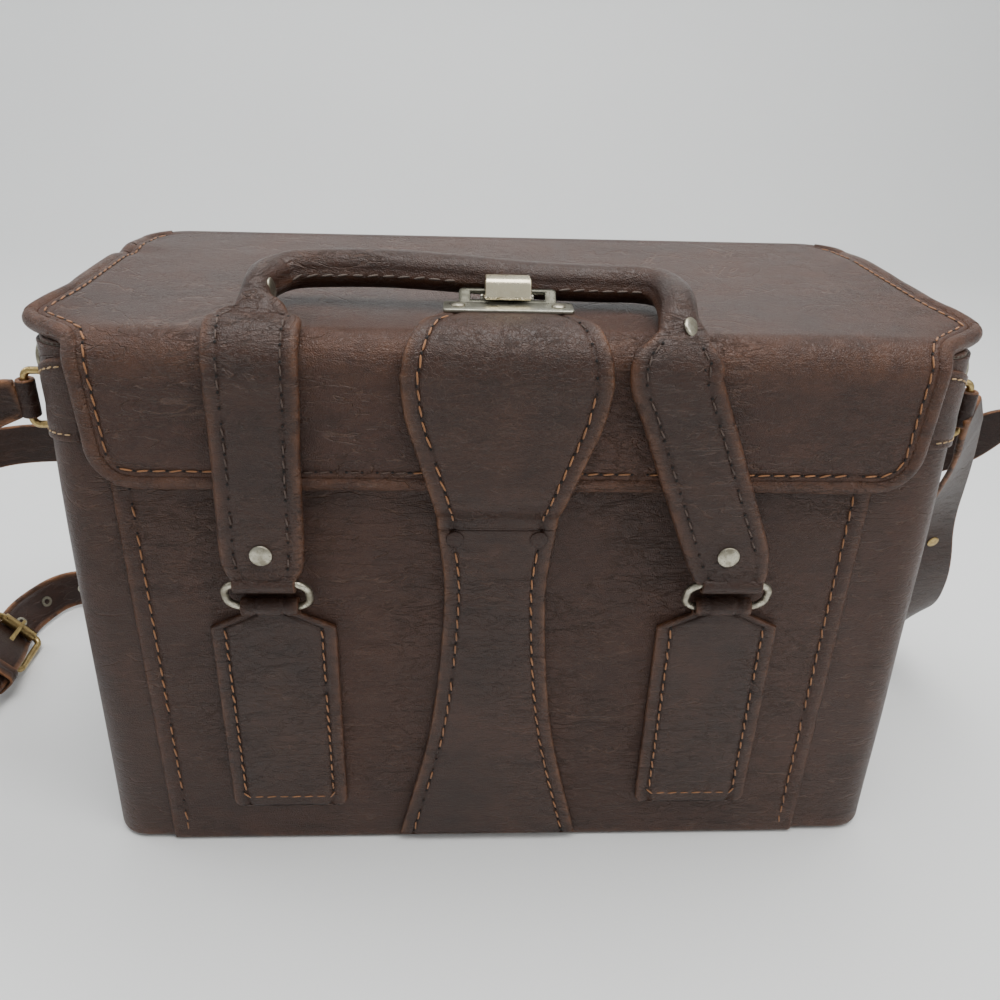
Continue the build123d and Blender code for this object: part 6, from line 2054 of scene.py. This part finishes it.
    def half(self, side: Side, rows: Array, node: str, rivet_at: float, bend_end_z: float, *rivets: str) -> None:
        """One half of the strap, with its fold round the side ring and the rivet that closes it.

        Args:
            side: the end of the case where it hangs.
            rows: its rows of place, direction across and width.
            node: the CAD node that it stands for.
            rivet_at: how far along the strap its rivet sits.
            bend_end_z: the end height given to its bend.
            rivets: the CAD node that its rivet stands for, if any.
        """
        path, across, width = rows[:, :3], rows[:, 3:6], rows[:, 6]
        along = lengths(path)
        double = 1 - smoothstep(along, 0.020, 0.026)
        shell = strap(path, across, width, self.thick + 0.0009 * double, 0.0003, 0.0030, 0.0002)
        ring = np.array([side.value * self.start_x, self.start_y]) + (self.loop_r - self.loop_t / 2) * circle(40)
        curl = band(stack(*ring.T, self.ring_z), Z_AXIS, self.neck_w, self.loop_t)
        x, y, _ = path[0]
        bend = Bend(f"side_ring_{side.label}", "case", (x, y, self.bend_start_z), (x, y, bend_end_z))
        put(f"{node}_leather", shell.join(curl), self.finish.sling, bend, "leather_strap", node)
        _, _, normal = frames(path, across)
        spot = int(np.searchsorted(along, rivet_at))
        outward = normal[spot] * (1 if normal[spot] @ (0.2 * side.value, -1.0, 0.4) > 0 else -1)
        head = rivet(self.rivet_d, 0.0011, 0.2, path[spot] + outward * self.thick / 2, outward)
        put(f"sling_rivet_{side.label}", head, self.finish.brass, "case", "brass", *rivets)

    def fold(self) -> None:
        """The buckle half's fold round the fixed bar, in two tongues with the prong between them.

        Each tongue runs from the strap out over the bar, half round it and back under, on a rounded line.
        """
        reach, leaning = self.wire_r + 0.0004 + self.thick / 2, np.array(self.leaning)
        lead = [(self.fixed_y - 0.014, 0.0010), (self.fixed_y - 0.008, 0.0024)]
        turn = np.linspace(HALF_PI, -HALF_PI, 14)
        line = lead + [(self.fixed_y + reach * cos(a), reach * sin(a)) for a in turn] + [(y, -o) for y, o in lead[::-1]]
        path = evenly(np.array([self.off_buckle(y, out) for y, out in line]), 60)
        half = (self.width - self.slot_w) / 2
        aside = leaning * (self.slot_w + half) / 2
        low, high = (strap(path + aside * sign, leaning, half, self.thick) for sign in (-1, 1))
        put("buckle_fold_leather", low.join(high), self.finish.sling, "case", "leather_strap")

    def keeper(self) -> None:
        """The keeper: a short strap bent to a rounded box round both halves."""
        half_out = self.over + self.thick / 2 + 0.0003 + self.keeper_t / 2
        half_up = (self.width + 0.001 + self.keeper_t) / 2
        flat = rectangle(-half_out, -half_up, half_out, half_up, 0.0032)
        centre = np.array(self.off_buckle(self.keeper_y, self.over * 0.7))
        path = centre + flat @ np.array([(0.714, 0.0, 0.7), self.leaning])
        box = band(path, Y_AXIS, self.keeper_w, self.keeper_t)
        put("keeper_leather", box, self.finish.sling, "case", "leather_strap", "sling_keeper")


@dataclass
class Studio:
    """The floor, the lights and the camera."""

    camera_place: tuple[float, float, float] = (-0.02377, -0.41231, 0.35879)
    pitch: float = 0.48066
    yaw: float = 0.05831
    roll: float = 0.03331
    focal_px: float = 924.0
    frame_px: float = 1000.0
    sensor: float = 36.0

    def build(self) -> None:
        """Builds the stage."""
        self.floor()
        self.lights()
        self.camera()

    def floor(self) -> None:
        """A pale sheet that runs back over the floor and curves up behind the case."""
        turn = np.linspace(0, HALF_PI, 24)
        curve = stack(1.1 + 0.5 * np.sin(turn), 0.5 * (1 - np.cos(turn)))
        line = np.vstack([[-2.2, 0.0], [-0.6, 0.0], [0.4, 0.0], curve, [1.6, 2.6]])
        grid = stack(np.linspace(-2.6, 2.6, 30)[None, :], line[:, :1], line[:, 1:] - 0.0002)
        material, p, shader = coat_of("pale sheet")
        clouds = p.noise(p.place, 3.0, 3.0, 0.5)
        p.feed(shader["Base Color"], p.mix(clouds, (0.77, 0.785, 0.785, 1.0), (0.82, 0.835, 0.835, 1.0)))
        shader["Roughness"].default_value = 0.55
        to_object("pale_sheet", Shell(grid.reshape(-1, 3), [grid_quads(*grid.shape[:2])]), material)

    def lights(self) -> None:
        """A broad light overhead towards the back, a soft one from the left and a low fill."""
        world = bpy.data.worlds.new("studio")
        world.use_nodes = True
        sky = world.node_tree.nodes["Background"].inputs
        sky["Color"].default_value = (0.86, 0.88, 0.89, 1.0)
        sky["Strength"].default_value = 0.60
        bpy.context.scene.world = world
        for name, place, aim_z, size, power, colour in (
            ("overhead", (0.15, -0.05, 1.55), 0.10, 1.7, 36.0, (1.0, 0.98, 0.96)),
            ("left", (-1.5, 0.4, 1.2), 0.12, 1.0, 9.0, (0.98, 0.98, 1.0)),
            ("right", (1.3, -0.9, 1.1), 0.10, 1.0, 7.0, (1.0, 0.97, 0.93)),
        ):
            light = bpy.data.lights.new(name, "AREA")
            light.shape, light.size, light.energy, light.color = "DISK", size, power, colour
            lamp = bpy.data.objects.new(name, light)
            lamp.location = place
            lamp.rotation_euler = (Vector((0.0, 0.0, aim_z)) - Vector(place)).to_track_quat("-Z", "Y").to_euler()
            bpy.context.scene.collection.objects.link(lamp)

    def camera(self) -> None:
        """The camera at the photograph's place, from the fitted pitch, yaw and roll."""
        forward = np.array([sin(self.yaw) * cos(self.pitch), cos(self.yaw) * cos(self.pitch), -sin(self.pitch)])
        level = np.array([cos(self.yaw), -sin(self.yaw), 0.0])
        upright = np.cross(level, forward)
        right = cos(self.roll) * level + sin(self.roll) * upright
        up = -sin(self.roll) * level + cos(self.roll) * upright
        data = bpy.data.cameras.new("photo camera")
        data.sensor_width = self.sensor
        data.lens = self.focal_px / self.frame_px * self.sensor
        data.clip_start = 0.01
        camera = bpy.data.objects.new("photo camera", data)
        turn = np.eye(4)
        turn[:3] = stack(right, up, -forward, self.camera_place)
        camera.matrix_world = Matrix(turn.tolist())
        bpy.context.scene.collection.objects.link(camera)
        bpy.context.scene.camera = camera


def main() -> None:
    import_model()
    sizes, finish = CaseSizes(), Finishes()
    for part in (Body, Lid, Tongue, Handle, Sling):
        log.info("building %s", part.__name__.lower())
        part(sizes, finish).build()
    Studio().build()


if __name__ == "__main__":
    main()
